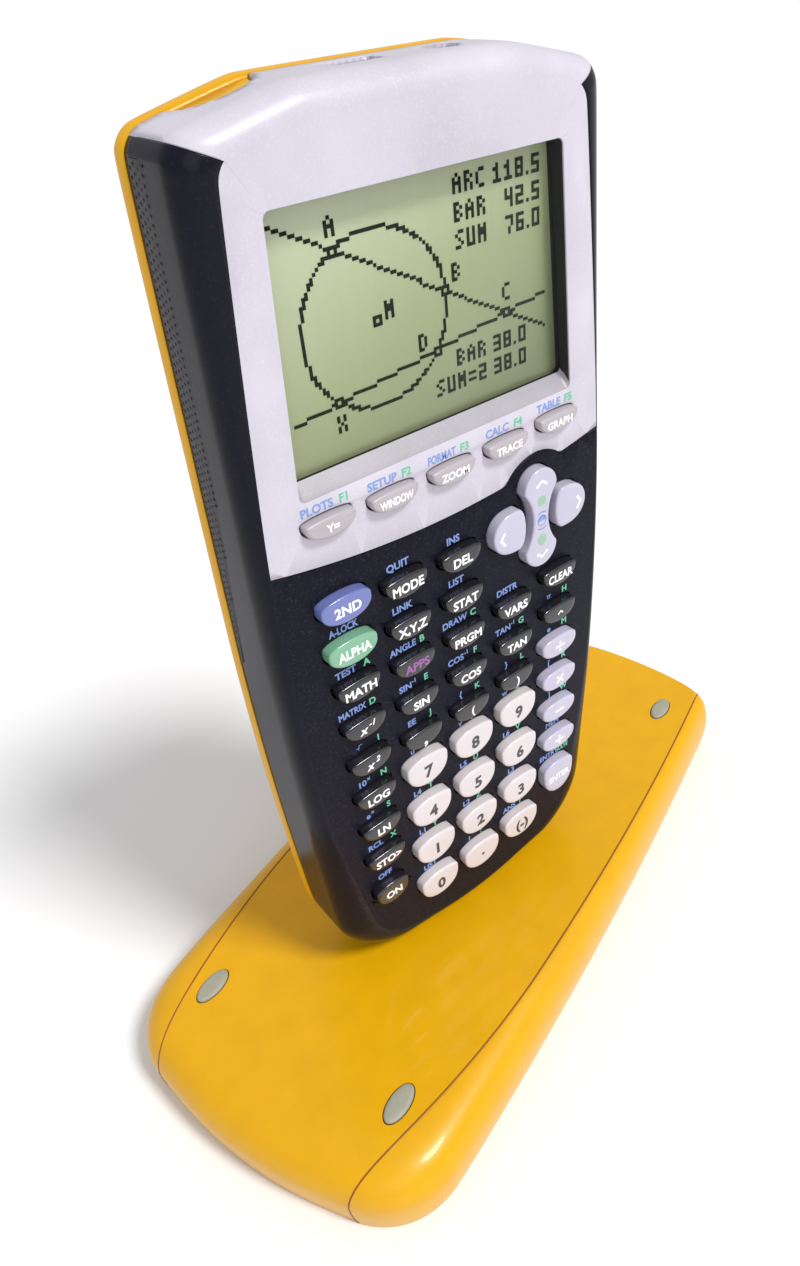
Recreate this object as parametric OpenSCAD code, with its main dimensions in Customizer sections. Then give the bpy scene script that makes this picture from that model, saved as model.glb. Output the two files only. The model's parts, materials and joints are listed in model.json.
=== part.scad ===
// Graphing calculator standing upright on its slide case.
// Row frame: X across the calculator, Y from its face to its back, Z up its length.
// The origin is on the table, below the middle of the whole object's bounding box.

/* [Calculator] */
// Length from the bottom end to the crown of the top end
body_l = 192; // [186:1:198]
// Greatest width over the side walls
body_w = 85; // [83:0.5:88]
// Depth from the face to the back, without the keys
body_d = 21; // [20:0.5:24]
// Depth of the front housing's side walls behind the face
housing_d = 15.5; // [14.5:0.5:16]
// Wall thickness of the shells
wall = 1.8; // [1.6:0.1:2]

/* [Display] */
// Width of the window opening at its upper edge
window_w = 58; // [54:0.5:60]
// Height of the window opening
window_h = 42; // [38:0.5:44]
// Height of the window opening's lower edge above the bottom end
window_y = 133.5; // [133:0.5:136]
// Depth from the face down to the window pane
window_sink = 2.6; // [2:0.1:2.8]

/* [Keys] */
// Distance between key columns
col_pitch = 13.6; // [13.4:0.1:13.8]
// Distance between key rows
row_pitch = 10.1; // [9.9:0.1:10.2]
// Distance between the rows of digits
digit_pitch = 13.1; // [12.9:0.1:13.3]
// Height of the fourth key row above the bottom end
key_base_y = 87; // [86:0.5:88]
// How far the keys stand out of the face
key_out = 2.3; // [1.5:0.1:2.6]
// Gap all round between a key and its opening
key_gap = 0.25; // [0.15:0.05:0.3]
// Travel of a pressed key
key_travel = 1; // [0.6:0.1:1.2]

/* [Battery door] */
// Width of the battery door
door_w = 58; // [50:1:60]
// Height of the battery door
door_h = 50; // [44:1:52]

/* [Slide case] */
// Length of the slide case
case_l = 191; // [186:1:196]
// Greatest width of the slide case
case_w = 91; // [88:0.5:92]
// Height of the slide case from its rim to its outer plane
case_h = 18; // [16:0.5:20]
// Thickness of the slide case's walls
case_wall = 2; // [1.8:0.1:2.4]
// Turn of the slide case under the calculator
case_turn = 17.2; // [0:0.1:30]
// Place of the slide case's middle across the calculator
case_x = 9.4; // [0:0.1:12]
// Place of the slide case's middle behind the face
case_y = 18.6; // [12:0.1:22]

/* [Hidden] */
$fn = 48;

navy = [0.13, 0.13, 0.22];
silver = [0.80, 0.77, 0.84];
yellow = [0.95, 0.69, 0.07];
graphite = [0.08, 0.08, 0.12];
chalk = [0.93, 0.90, 0.94];
lilac = [0.80, 0.79, 0.90];

// The calculator stands this far above the table, just clear of the slide case.
stand_gap = 0.3;
// Depth over which the front edge rounds into the side walls
edge_d = 5;
// Clear gap between parts that lie against each other
fit_gap = 0.1;
bezel_t = 1.6;
pane_t = 1.2;
module_t = 2.4;
flange_t = 0.7;
flange_w = 0.6;
// The keys' flanges lie just behind the front housing's skin.
flange_z = -bezel_t - wall - fit_gap - flange_t;
dome_h = 0.7;
mat_t = 0.9;
// The domes' tops are just clear of a fully pressed key's flange.
mat_z = flange_z - key_travel - fit_gap - dome_h - mat_t;
board_t = 1.2;
board_z = mat_z - fit_gap - board_t;

// ---------- outlines: every outline is a closed list of points made from arcs ----------

function arc(c, r, from, to, steps) =
    [for (i = [0:steps]) let (a = from + (to - from) * i / steps) c + r * [cos(a), sin(a)]];
function mirrored(points) = [for (i = [len(points) - 1:-1:0]) [-points[i][0], points[i][1]]];
function closed(half) = concat(half, mirrored(half));
function mixed(a, b, t) = [for (i = [0:len(a) - 1]) a[i] * (1 - t) + b[i] * t];

// Right half of the widest outline, inset by d, from the bottom end to the crown
function side_half(d) = concat(
    arc([0, 74], 74 - d, -90, -76, 3),
    arc([body_w / 2 - 24, 23], 22 - d, -74, -8, 7),
    arc([body_w / 2 - 900, 88], 900 - d, -2.6, 1.2, 5),
    arc([body_w / 2 - 7.4, body_l - 8.8], 5.4 - d, 3, 80, 5),
    arc([18, body_l - 30], 30 - d, 82, 90, 2));
// Right half of the flat face's outline, inset by d
function face_half(d) = concat(
    arc([0, 68], 64.5 - d, -90, -76, 3),
    arc([body_w / 2 - 26.5, 22.5], 17 - d, -74, -16, 7),
    arc([body_w / 2 - 602.4, 100], 600 - d, -5, 3, 5),
    arc([body_w / 2 - 12.5, body_l - 11.2], 5 - d, 6, 80, 5),
    arc([16, body_l - 34], 30 - d, 82, 90, 2));

// ---------- shared solids, drawn with the face at z = 0 and the bottom end at y = 0 ----------

module slab(points, z, t) {
    translate([0, 0, z]) linear_extrude(t) polygon(points);
}

// The front's outer form, inset by d on every side, down to the depth given
module front_form(d, depth) {
    hull() {
        for (a = [0, 35, 65]) {
            slab(closed(mixed(face_half(d), side_half(d), sin(a))),
                -d - 0.01 - (edge_d - d) * (1 - cos(a)), 0.01);
        }
        slab(closed(side_half(d)), -depth, depth - edge_d);
    }
}

// Stands the calculator upright on the slide case
module standing() {
    translate([-case_x - case_mid[0], -case_y - case_mid[1], case_h + stand_gap]) {
        rotate([90, 0, 0]) children();
    }
}

bezel_y = 115.6;
bezel_arc_r = 185;
bump_r = 10;

// The region that the bezel covers: its lower edge is a long arc that steps up over the cursor pad
module bezel_region(grow) {
    difference() {
        translate([0, bezel_y + bezel_arc_r]) circle(r = bezel_arc_r + grow, $fn = 240);
        translate([pad_x + 0.5, pad_y + 4.2]) circle(r = bump_r - grow);
    }
}
// Down the sides it ends at the flat face's edge, and at the top end it wraps over.
module bezel_sides(grow) {
    polygon(closed(face_half(0.3 - grow)));
    translate([0, body_l - 4]) square([2 * (body_w / 2 - 8 + grow), 16], center = true);
}

// ---------- keys ----------

pad_x = 21.5;
pad_y = key_base_y + 19.3;
side_key_x = 8.8;
lobe_r = 4.5;
lobe_y = 7;
waist_r = 11.2;
waist_w = 4.2;
pin_r = 0.8;
pin_l = 6.4;
pin_z = -bezel_t - wall - fit_gap - pin_r;

// Half-moon outline: a flat arch above the widest line and a deep bowl below it
function moon(w, up, down, grow) = [for (a = [0:12:348])
    [(w / 2 + grow) * cos(a),
        sin(a) >= 0 ? (up + grow) * pow(sin(a), 0.65) : -(down + grow) * pow(-sin(a), 0.8)]];

// Each key style is [width, height above the widest line, depth below it, shift of the widest line].
soft_key = [10.2, 0.8, 3.1, 1.2];
black_key = [9.8, 0.9, 3.8, 1.5];
shift_key = [11, 2.1, 3.6, 0.8];
digit_key = [11.2, 2.7, 5.6, 1.8];
sign_key = [10.8, 2.2, 3.5, 1.1];
on_key = [8.8, 2, 4.4, 0.9];
enter_key = [10.2, 3.2, 7.4, 1.1];
// The cursor pad's side keys are turned a quarter, so that their flat arch faces the rocker.
side_key = [9.4, 2.7, 6.1, 1.8];

function key_x(col) = (col - 2) * col_pitch;
// The rows run along shallow arcs, so their outer keys sit higher.
function arch(col, row) = (row == 0 ? 0.7 : 2.4) * pow((col - 2) / 2, 2);
function row_y(row) = row == 0 ? 38 : row == 1 ? 19.3 : row == 2 ? 9.5
    : row == 9 ? -62.1 : -row_pitch * (row - 3);
function key_at(col, row) = [key_x(col), key_base_y + row_y(row) + arch(col, row)];
function digit_at(col, line) =
    [key_x(col), key_base_y - 30.2 - digit_pitch * line + 0.6 * pow(col - 2, 2)];

// Every key that is a moon, as [place, style, turn]
MOONS = concat(
    [for (c = [0:4]) [key_at(c, 0), soft_key]],
    [for (r = [1, 2]) [key_at(0, r), shift_key]],
    [for (r = [1, 2]) for (c = [1, 2]) [key_at(c, r), black_key]],
    [for (c = [0:4]) [key_at(c, 3), black_key]],
    [for (c = [0:4]) [key_at(c, 4), black_key]],
    [for (c = [0:3]) [key_at(c, 5), black_key]],
    [for (r = [6:8]) [key_at(0, r), black_key]],
    [for (r = [5:8]) [key_at(4, r), sign_key]],
    [for (n = [0:3]) for (c = [1:3]) [digit_at(c, n), digit_key]],
    [[key_at(0, 9), on_key], [key_at(4, 9), enter_key]],
    [for (s = [-1, 1]) [[pad_x + s * side_key_x, pad_y], side_key, s * 90]]);

module moon_2d(place, style, grow, turn = 0) {
    translate(place) rotate(turn) translate([0, style[3]]) polygon(moon(style[0], style[1], style[2], grow));
}

// The one-piece rocker's outline: two lobes joined by a narrow waist
module rocker_2d(grow) {
    translate([pad_x, pad_y]) difference() {
        union() {
            square([2 * (lobe_r + grow), 2 * lobe_y], center = true);
            for (s = [-1, 1]) {
                translate([0, s * lobe_y]) circle(r = lobe_r + grow);
            }
        }
        for (s = [-1, 1]) {
            translate([s * (waist_w / 2 + waist_r), 0]) circle(r = waist_r - grow);
        }
    }
}

module key_openings(grow, z, t) {
    translate([0, 0, z]) linear_extrude(t) {
        for (k = MOONS) {
            moon_2d(k[0], k[1], grow, is_undef(k[2]) ? 0 : k[2]);
        }
        rocker_2d(grow);
    }
}

// A key cap with a softened top and a flange behind the housing's skin
module moon_key(place, style, tint, turn = 0) {
    color(tint) standing() {
        hull() {
            translate([0, 0, flange_z]) linear_extrude(key_out - 0.45 - flange_z) {
                moon_2d(place, style, 0, turn);
            }
            translate([0, 0, key_out - 0.1]) linear_extrude(0.1) moon_2d(place, style, -0.5, turn);
        }
        translate([0, 0, flange_z]) linear_extrude(flange_t) intersection() {
            moon_2d(place, style, flange_w, turn);
            union() {
                moon_2d(place, style, 0, turn);
                polygon(closed(face_half(bezel_t + wall + 3 * fit_gap + 0.4)));
            }
        }
    }
}

module key_y_equals() { moon_key(key_at(0, 0), soft_key, silver); }
module key_window() { moon_key(key_at(1, 0), soft_key, silver); }
module key_zoom() { moon_key(key_at(2, 0), soft_key, silver); }
module key_trace() { moon_key(key_at(3, 0), soft_key, silver); }
module key_graph() { moon_key(key_at(4, 0), soft_key, silver); }
module key_2nd() { moon_key(key_at(0, 1), shift_key, [0.38, 0.44, 0.74]); }
module key_mode() { moon_key(key_at(1, 1), black_key, graphite); }
module key_del() { moon_key(key_at(2, 1), black_key, graphite); }
module key_left() { moon_key([pad_x - side_key_x, pad_y], side_key, lilac, -90); }
module key_right() { moon_key([pad_x + side_key_x, pad_y], side_key, lilac, 90); }
module key_alpha() { moon_key(key_at(0, 2), shift_key, [0.49, 0.75, 0.60]); }
module key_variable() { moon_key(key_at(1, 2), black_key, graphite); }
module key_stat() { moon_key(key_at(2, 2), black_key, graphite); }
module key_math() { moon_key(key_at(0, 3), black_key, graphite); }
module key_apps() { moon_key(key_at(1, 3), black_key, graphite); }
module key_prgm() { moon_key(key_at(2, 3), black_key, graphite); }
module key_vars() { moon_key(key_at(3, 3), black_key, graphite); }
module key_clear() { moon_key(key_at(4, 3), black_key, graphite); }
module key_inverse() { moon_key(key_at(0, 4), black_key, graphite); }
module key_sin() { moon_key(key_at(1, 4), black_key, graphite); }
module key_cos() { moon_key(key_at(2, 4), black_key, graphite); }
module key_tan() { moon_key(key_at(3, 4), black_key, graphite); }
module key_power() { moon_key(key_at(4, 4), black_key, graphite); }
module key_square() { moon_key(key_at(0, 5), black_key, graphite); }
module key_comma() { moon_key(key_at(1, 5), black_key, graphite); }
module key_open_bracket() { moon_key(key_at(2, 5), black_key, graphite); }
module key_close_bracket() { moon_key(key_at(3, 5), black_key, graphite); }
module key_divide() { moon_key(key_at(4, 5), sign_key, lilac); }
module key_log() { moon_key(key_at(0, 6), black_key, graphite); }
module key_7() { moon_key(digit_at(1, 0), digit_key, chalk); }
module key_8() { moon_key(digit_at(2, 0), digit_key, chalk); }
module key_9() { moon_key(digit_at(3, 0), digit_key, chalk); }
module key_multiply() { moon_key(key_at(4, 6), sign_key, lilac); }
module key_ln() { moon_key(key_at(0, 7), black_key, graphite); }
module key_4() { moon_key(digit_at(1, 1), digit_key, chalk); }
module key_5() { moon_key(digit_at(2, 1), digit_key, chalk); }
module key_6() { moon_key(digit_at(3, 1), digit_key, chalk); }
module key_subtract() { moon_key(key_at(4, 7), sign_key, lilac); }
module key_store() { moon_key(key_at(0, 8), black_key, graphite); }
module key_1() { moon_key(digit_at(1, 2), digit_key, chalk); }
module key_2() { moon_key(digit_at(2, 2), digit_key, chalk); }
module key_3() { moon_key(digit_at(3, 2), digit_key, chalk); }
module key_add() { moon_key(key_at(4, 8), sign_key, lilac); }
module key_on() { moon_key(key_at(0, 9), on_key, graphite); }
module key_0() { moon_key(digit_at(1, 3), digit_key, chalk); }
module key_point() { moon_key(digit_at(2, 3), digit_key, chalk); }
module key_negative() { moon_key(digit_at(3, 3), digit_key, chalk); }
module key_enter() { moon_key(key_at(4, 9), enter_key, lilac); }

// The up/down rocker tips about the pin across its waist.
module key_up_down() {
    color(lilac) standing() {
        translate([0, 0, flange_z]) linear_extrude(key_out - 0.4 - flange_z) rocker_2d(0);
        translate([0, 0, key_out - 0.5]) linear_extrude(0.5) rocker_2d(-0.3);
        translate([pad_x - pin_l / 2, pad_y, pin_z]) rotate([0, 90, 0]) cylinder(h = pin_l, r = pin_r);
    }
}

// ---------- front ----------

window_mid = window_y + window_h / 2;

// The window opening widens a little towards its lower edge.
function window_points(grow) = let (low = window_w / 2 + 2.4 + grow, high = window_w / 2 + grow)
    [[-low, window_y - grow], [low, window_y - grow],
        [high, window_y + window_h + grow], [-high, window_y + window_h + grow]];

sill_h = 2.2;

// The sill below the window slopes from the face down to the pane.
module window_sill() {
    translate([-window_w / 2 - 2.4, window_y + 0.01, 0]) rotate([90, 0, 90]) {
        linear_extrude(window_w + 4.8) polygon([[0.2, -window_sink], [-sill_h, 0.01], [0.2, 0.01]]);
    }
}

module front_housing() {
    color(navy) standing() difference() {
        union() {
            difference() {
                front_form(0, housing_d);
                translate([0, 0, -housing_d - 1]) linear_extrude(housing_d + 2) intersection() {
                    bezel_region(fit_gap);
                    bezel_sides(fit_gap);
                }
            }
            front_form(bezel_t + fit_gap, housing_d);
        }
        difference() {
            intersection() {
                hull() {
                    slab(closed(face_half(bezel_t + wall + 0.4)), -bezel_t - wall, 0.01);
                    slab(closed(side_half(wall)), -housing_d - 1, housing_d + 1 - edge_d - 1);
                }
                translate([-body_w, -1, -body_d]) cube([2 * body_w, body_l - 2 * wall + 1, body_d]);
            }
            for (p = screw_places) {
                translate([p[0], p[1], -housing_d - 2]) cylinder(h = housing_d, r = boss_r);
            }
        }
        for (p = screw_places) {
            translate([p[0], p[1], -housing_d - 2]) cylinder(h = 8, r = screw_r + 0.02);
        }
        key_openings(key_gap, -10, 12);
        slab(window_points(fit_gap), -10, 12);
        window_sill();
        top_notches();
        socket_openings();
    }
}

notch_x = 26;
notch_r = 7;
notch_l = 9;

// The two bites out of the back of the top edge, where the rear cover shows through
module top_notches() {
    for (s = [-1, 1]) {
        translate([s * notch_x, body_l - notch_l - 0.5, -housing_d]) rotate([-90, 0, 0]) {
            cylinder(h = 20, r = notch_r);
        }
    }
}

jack_x = 12;
usb_x = -5;
socket_z = -9.8;

// Openings in the top end for the round link socket and the flat one
module socket_openings() {
    translate([jack_x, body_l - 8, socket_z]) rotate([-90, 0, 0]) cylinder(h = 12, r = 3);
    translate([usb_x - 4.4, body_l - 8, socket_z - 2]) cube([8.8, 12, 4]);
}

module screen_bezel() {
    color(silver) standing() difference() {
        intersection() {
            difference() {
                front_form(0, housing_d);
                front_form(bezel_t, housing_d + 1);
            }
            translate([0, 0, -housing_d - 1]) linear_extrude(housing_d + 2) intersection() {
                bezel_region(0);
                bezel_sides(0);
            }
        }
        key_openings(key_gap, -10, 12);
        slab(window_points(0), -10, 12);
        window_sill();
        top_notches();
        socket_openings();
    }
}

// The clear pane, held between the housing's opening and the display module
module display_window() {
    color([0.75, 0.80, 0.72, 0.5]) standing() {
        slab(window_points(-fit_gap), -window_sink - pane_t, pane_t);
    }
}

// The glass cell with its backing and a border gasket
module display_module() {
    color([0.66, 0.72, 0.55]) standing() {
        translate([0, window_mid, -window_sink - pane_t - fit_gap - module_t / 2]) {
            cube([window_w + 8, window_h + 2, module_t], center = true);
        }
    }
}

// ---------- inside ----------

module dome() {
    cylinder(h = dome_h + 0.1, r1 = 2.2, r2 = 1.6);
}

// A rubber sheet with one dome under each key
module keypad_mat() {
    color([0.3, 0.3, 0.32]) standing() {
        translate([-24, 11, mat_z]) cube([48, 12, mat_t]);
        translate([-30.5, 22, mat_z]) cube([61, 107, mat_t]);
        for (k = MOONS) {
            translate([k[0][0], k[0][1], mat_z + mat_t - 0.1]) dome();
        }
        for (s = [-1, 1]) {
            translate([pad_x, pad_y + s * lobe_y, mat_z + mat_t - 0.1]) dome();
        }
    }
}

// Each cell has a tall sprung contact at one end and a low one at the other, and neighbours alternate.
function contact_h(s, cell) = s * (cell % 2 == 0 ? 1 : -1) > 0 ? 3 : 0.9;

// The board with its soldered chips, link sockets, backup cell holder and battery contacts
module circuit_board() {
    color([0.10, 0.38, 0.22]) standing() {
        difference() {
            union() {
                translate([-24, 12, board_z]) cube([48, 12, board_t]);
                translate([-29, 22, board_z]) cube([58, 100, board_t]);
                translate([-31, 115, board_z]) cube([62, 62, board_t]);
                translate([-27, 170, board_z]) cube([54, 16, board_t]);
            }
            door_block(tray_w + 3.2, tray_h + 3.2, board_z - 1, board_z + board_t + 1);
        }
        for (chip = [[-12, 60, 14], [10, 62, 10], [-10, 34, 8]]) {
            translate([chip[0], chip[1], board_z - 1.3]) cube([chip[2], chip[2], 1.4]);
        }
        translate([-19, 104, board_z - 3]) cylinder(h = 3.1, r = 8);
        translate([usb_x - 4, 178, board_z - 3.4]) cube([8, 9, 3.5]);
        difference() {
            translate([jack_x - 3.5, 176, board_z - 5]) cube([7, 11, 5.1]);
            translate([jack_x, 178, socket_z]) rotate([-90, 0, 0]) cylinder(h = 12, r = 1.3);
        }
        for (cell = [0:3]) {
            for (s = [-1, 1]) {
                translate([s * (tray_w / 2 - 0.5), cell_y(cell), -body_d + 7.5]) {
                    cube([0.5, 8, 8], center = true);
                    rotate([0, -90 * s, 0]) cylinder(h = contact_h(s, cell), r = 2.6);
                }
            }
        }
    }
}

// ---------- back ----------

door_y = 146;
tray_w = door_w - 6;
tray_h = door_h - 4;
tray_z = -8.6;
back_inset = 4;
tray_t = 1;

module door_block(w, h, low, high) {
    translate([-w / 2, door_y - h / 2, low]) cube([w, h, high - low]);
}

// Middle of each battery cell along the tray
function cell_y(cell) = door_y + (cell - 1.5) * tray_h / 4;

module rear_form(d) {
    hull() {
        slab(closed(side_half(d)), -housing_d - 3, 3 - fit_gap);
        slab(closed(side_half(back_inset + d)), -body_d + d, 0.5);
    }
}

// The cover with its screw bosses, battery tray and the blocks that show in the top notches
module rear_cover() {
    color(yellow) standing() {
        difference() {
            rear_form(0);
            difference() {
                hull() {
                    slab(closed(side_half(wall)), -housing_d - 2, 4);
                    slab(closed(side_half(back_inset + wall)), -body_d + wall, 0.5);
                }
                for (p = screw_places) {
                    translate([p[0], p[1], -body_d]) cylinder(h = 10, r = boss_r + 0.6);
                }
            }
            door_block(door_w, door_h, -body_d - 1, -body_d + wall);
            for (p = screw_places) {
                translate([p[0], p[1], -body_d - 1]) cylinder(h = 8, r = screw_r + 0.25);
                translate([p[0], p[1], -body_d - 1]) cylinder(h = 1 + head_sink, r = head_r + 0.3);
            }
        }
        difference() {
            union() {
                door_block(tray_w + 2 * tray_t, tray_h + 2 * tray_t, -body_d + wall, tray_z + tray_t);
                door_block(door_w + 6, door_h + 6, -body_d + wall, -body_d + wall + tray_t);
            }
            door_block(tray_w, tray_h, -body_d, tray_z);
        }
        for (s = [-1, 1]) {
            intersection() {
                translate([s * notch_x, body_l - notch_l, -housing_d]) rotate([-90, 0, 0]) {
                    cylinder(h = notch_l, r = notch_r - 0.4);
                }
                slab(closed(side_half(0.8)), -housing_d - 3, 12);
            }
        }
    }
}

module battery_door() {
    color(yellow) standing() difference() {
        union() {
            door_block(door_w - 0.6, door_h - 0.6, -body_d, -body_d + wall - 0.02);
            translate([-8, door_y + door_h / 2 - 6, -body_d + wall - 0.1]) cube([16, 1.6, 3]);
        }
        for (i = [-2:2]) {
            translate([-9, door_y + door_h / 2 - 12 + i * 1.6, -body_d - 0.3]) cube([18, 0.8, 0.7]);
        }
    }
}

screw_places = [[-31, 16], [31, 16], [-34.4, 117.5], [34.4, 117.5], [-32, 180.5], [32, 180.5]];
screw_r = 1.3;
head_r = 2.5;
head_sink = 1.8;
boss_r = 2.6;

// Six identical self-tapping screws, their heads sunk in the back
module housing_screws() {
    color([0.45, 0.45, 0.48]) standing() {
        for (p = screw_places) {
            translate([p[0], p[1], -body_d + head_sink - 0.02]) difference() {
                union() {
                    cylinder(h = 9, r = screw_r);
                    translate([0, 0, -1.4]) cylinder(h = 1.4, r = head_r);
                }
                translate([0, 0, -2]) cylinder(h = 1.5, r = 1.1, $fn = 6);
            }
        }
    }
}

// ---------- slide case, lying with its outer side up ----------

// Right half of the case's widest outline, inset by d, from the rounded end to the square end
function case_half(d) = concat(
    arc([0, -case_l / 2 + 110], 110 - d, -90, -77, 3),
    arc([case_w / 2 - 21, -case_l / 2 + 23], 20 - d, -74, -8, 7),
    arc([case_w / 2 - 1400, -25], 1400 - d, -2.1, 4.4, 7),
    arc([case_w / 2 - 11, case_l / 2 - 12.4], 7 - d, 6, 72, 5),
    arc([0, case_l / 2 - 125], 125 - d, 74, 90, 3));
// Right half of the seam where the top panel meets the side bumpers, inset by d
function seam_half(d) = concat(
    arc([case_w / 2 - 255.7, -17.7], 250 - d, -19.5, -4, 7),
    arc([case_w / 2 - 905.3, 5], 900 - d, -2, 6.2, 7));
// Right half of the flat outer plane's outline, with as many points as the widest outline
function plane_half(d) = concat(
    arc([0, -case_l / 2 + 123], 110 - d, -90, -77, 3),
    arc([case_w / 2 - 19.3, -case_l / 2 + 22.5], 6 - d, -74, -15, 7),
    arc([case_w / 2 - 255.7, -17.7], 250 - d, -12.5, -4, 3),
    arc([case_w / 2 - 905.3, 5], 900 - d, -1, 5.1, 3),
    arc([case_w / 2 - 14.3, case_l / 2 - 11.8], 5 - d, 6, 72, 5),
    arc([0, case_l / 2 - 125], 123 - d, 75, 90, 3));
// How the form swells from the flat plane's outline to the widest one, as [share, depth]
SWELL = [[0, 0], [0.3, 0.4], [0.6, 1.5], [0.85, 3.8]];

// The case reaches farthest all round, so its turned outline gives the middle of the whole object.
case_axis = case_turn - 90;
CASE_X = [for (p = closed(case_half(0))) p[0] * cos(case_axis) - p[1] * sin(case_axis)];
CASE_Y = [for (p = closed(case_half(0))) p[0] * sin(case_axis) + p[1] * cos(case_axis)];
case_mid = [(min(CASE_X) + max(CASE_X)) / 2, (min(CASE_Y) + max(CASE_Y)) / 2];

module case_placed() {
    translate([-case_mid[0], -case_mid[1], 0]) rotate([0, 0, case_axis]) children();
}

// The case's outer form inset by d: flat on top, with bulging sides that tuck in at the rim
module case_form(d) {
    hull() {
        for (k = SWELL) {
            slab(closed(mixed(plane_half(d), case_half(d), k[0])), case_h - d - k[1] - 0.01, 0.01);
        }
        slab(closed(case_half(d)), bumper_low, case_h - bumper_drop - bumper_low);
        slab(closed(case_half(1 + d)), -d, 0.01);
    }
}

foot_places = [[-28.3, -71.4], [28.3, -71.4], [-28.8, 74.6], [28.8, 74.6]];
foot_w = 4.8;
foot_l = 9.8;
foot_sink = 0.8;
foot_out = 0.5;
foot_dome = 0.3;
foot_gap = 0.1;
bumper_low = 6;
bumper_drop = 8.5;

module foot_2d(grow) {
    polygon([for (a = [0:10:350]) [(foot_w / 2 + grow) * cos(a), (foot_l / 2 + grow) * sin(a)]]);
}

seam_w = 0.5;
seam_d = 0.5;

// Shallow grooves where the seams cross the outer plane
module seam_grooves() {
    translate([0, 0, case_h - seam_d]) linear_extrude(2 * seam_d) difference() {
        polygon(closed(seam_half(-seam_w / 2)));
        polygon(closed(seam_half(seam_w / 2)));
    }
}

// The guide rails inside the long walls reach this far in from the greatest width.
rail_reach = 5;

module slide_case() {
    color(yellow) case_placed() {
        difference() {
            case_form(0);
            difference() {
                case_form(case_wall);
                for (s = [-1, 1]) {
                    translate([s * case_w / 2 - rail_reach, -45, 3]) cube([2 * rail_reach, 105, 1.8]);
                }
            }
            for (p = foot_places) {
                translate([p[0], p[1], case_h - foot_sink]) linear_extrude(2) foot_2d(foot_gap);
            }
            seam_grooves();
        }
    }
}

module case_feet() {
    color([0.58, 0.57, 0.50]) case_placed() {
        for (p = foot_places) {
            translate([p[0], p[1], case_h - foot_sink]) linear_extrude(foot_sink + foot_out) foot_2d(0);
            translate([p[0], p[1], case_h + foot_out]) linear_extrude(foot_dome) foot_2d(-0.8);
        }
    }
}

front_housing();
screen_bezel();
display_window();
display_module();
keypad_mat();
circuit_board();
rear_cover();
battery_door();
housing_screws();
slide_case();
case_feet();
key_y_equals();
key_window();
key_zoom();
key_trace();
key_graph();
key_2nd();
key_mode();
key_del();
key_left();
key_up_down();
key_right();
key_alpha();
key_variable();
key_stat();
key_math();
key_apps();
key_prgm();
key_vars();
key_clear();
key_inverse();
key_sin();
key_cos();
key_tan();
key_power();
key_square();
key_comma();
key_open_bracket();
key_close_bracket();
key_divide();
key_log();
key_7();
key_8();
key_9();
key_multiply();
key_ln();
key_4();
key_5();
key_6();
key_subtract();
key_store();
key_1();
key_2();
key_3();
key_add();
key_on();
key_0();
key_point();
key_negative();
key_enter();
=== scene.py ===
"""Looks for the graphing calculator that stands upright on its yellow slide case.

Lengths are in millimetres in two local frames and are turned into the row frame's metres on building:
the face frame (x across, y up from the bottom end, z out of the face) and the case frame (u across,
v along, z up from the table).
"""

import json
import math

import bpy
import numpy as np
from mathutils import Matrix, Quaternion, Vector
from mathutils.bvhtree import BVHTree
from mathutils.geometry import delaunay_2d_cdt


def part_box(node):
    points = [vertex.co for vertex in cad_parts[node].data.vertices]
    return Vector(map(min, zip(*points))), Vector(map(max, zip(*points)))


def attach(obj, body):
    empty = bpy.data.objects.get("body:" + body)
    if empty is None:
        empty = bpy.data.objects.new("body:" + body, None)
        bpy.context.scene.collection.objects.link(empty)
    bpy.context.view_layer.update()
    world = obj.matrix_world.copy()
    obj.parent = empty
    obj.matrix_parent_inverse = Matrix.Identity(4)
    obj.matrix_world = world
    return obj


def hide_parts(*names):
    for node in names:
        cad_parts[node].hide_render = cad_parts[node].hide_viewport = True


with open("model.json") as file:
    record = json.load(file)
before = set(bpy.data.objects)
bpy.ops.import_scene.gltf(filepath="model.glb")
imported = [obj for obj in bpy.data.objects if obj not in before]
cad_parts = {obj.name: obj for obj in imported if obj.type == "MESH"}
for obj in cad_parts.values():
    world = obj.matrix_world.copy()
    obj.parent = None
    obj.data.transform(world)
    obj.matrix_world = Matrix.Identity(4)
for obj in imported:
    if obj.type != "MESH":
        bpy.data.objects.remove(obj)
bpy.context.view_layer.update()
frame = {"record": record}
MM = 0.001

# ---------- sizes, in millimetres ----------

housing_low, housing_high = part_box("front_housing")
FACE_ORIGIN = Vector(((housing_low.x + housing_high.x) / 2, housing_low.y, housing_low.z))
BODY_W = (housing_high.x - housing_low.x) / MM
BODY_L = (housing_high.z - housing_low.z) / MM
BODY_D = (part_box("rear_cover")[1].y - housing_low.y) / MM
HOUSING_D = (housing_high.y - housing_low.y) / MM
CASE_H = (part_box("slide_case")[1].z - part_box("slide_case")[0].z) / MM
CASE_L = 191.0
CASE_W = 91.0
CASE_TURN = math.radians(17.2 - 90)
EDGE_D = 5.0
KEY_OUT = (housing_low.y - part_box("key_7")[0].y) / MM
COL_PITCH = 13.6
ROW_PITCH = 10.1
DIGIT_PITCH = 13.1
KEY_BASE_Y = 87.0
PAD_X = 21.5
PAD_Y = KEY_BASE_Y + 19.3
WINDOW_W = 58.0
WINDOW_H = 42.0
WINDOW_Y = 133.5
BEZEL_Y = 115.6
BEZEL_ARC_R = 185.0
BUMP_R = 10.0
BEZEL_GAP = 0.14
NOTCH_X = 26.0
NOTCH_R = 7.0
SOCKET_Z = -9.8
JACK_X = 12
JACK_R = 3
PORT = [(-9.4, -2), (-0.6, -2), (-0.6, 2), (-9.4, 2)]
DOT_PITCH = 0.62
# Slopes of the display's painted light gradient, across and up.
PAINTED_LIGHT_ACROSS = 6.0
PAINTED_LIGHT_UP = 13.0
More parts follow.
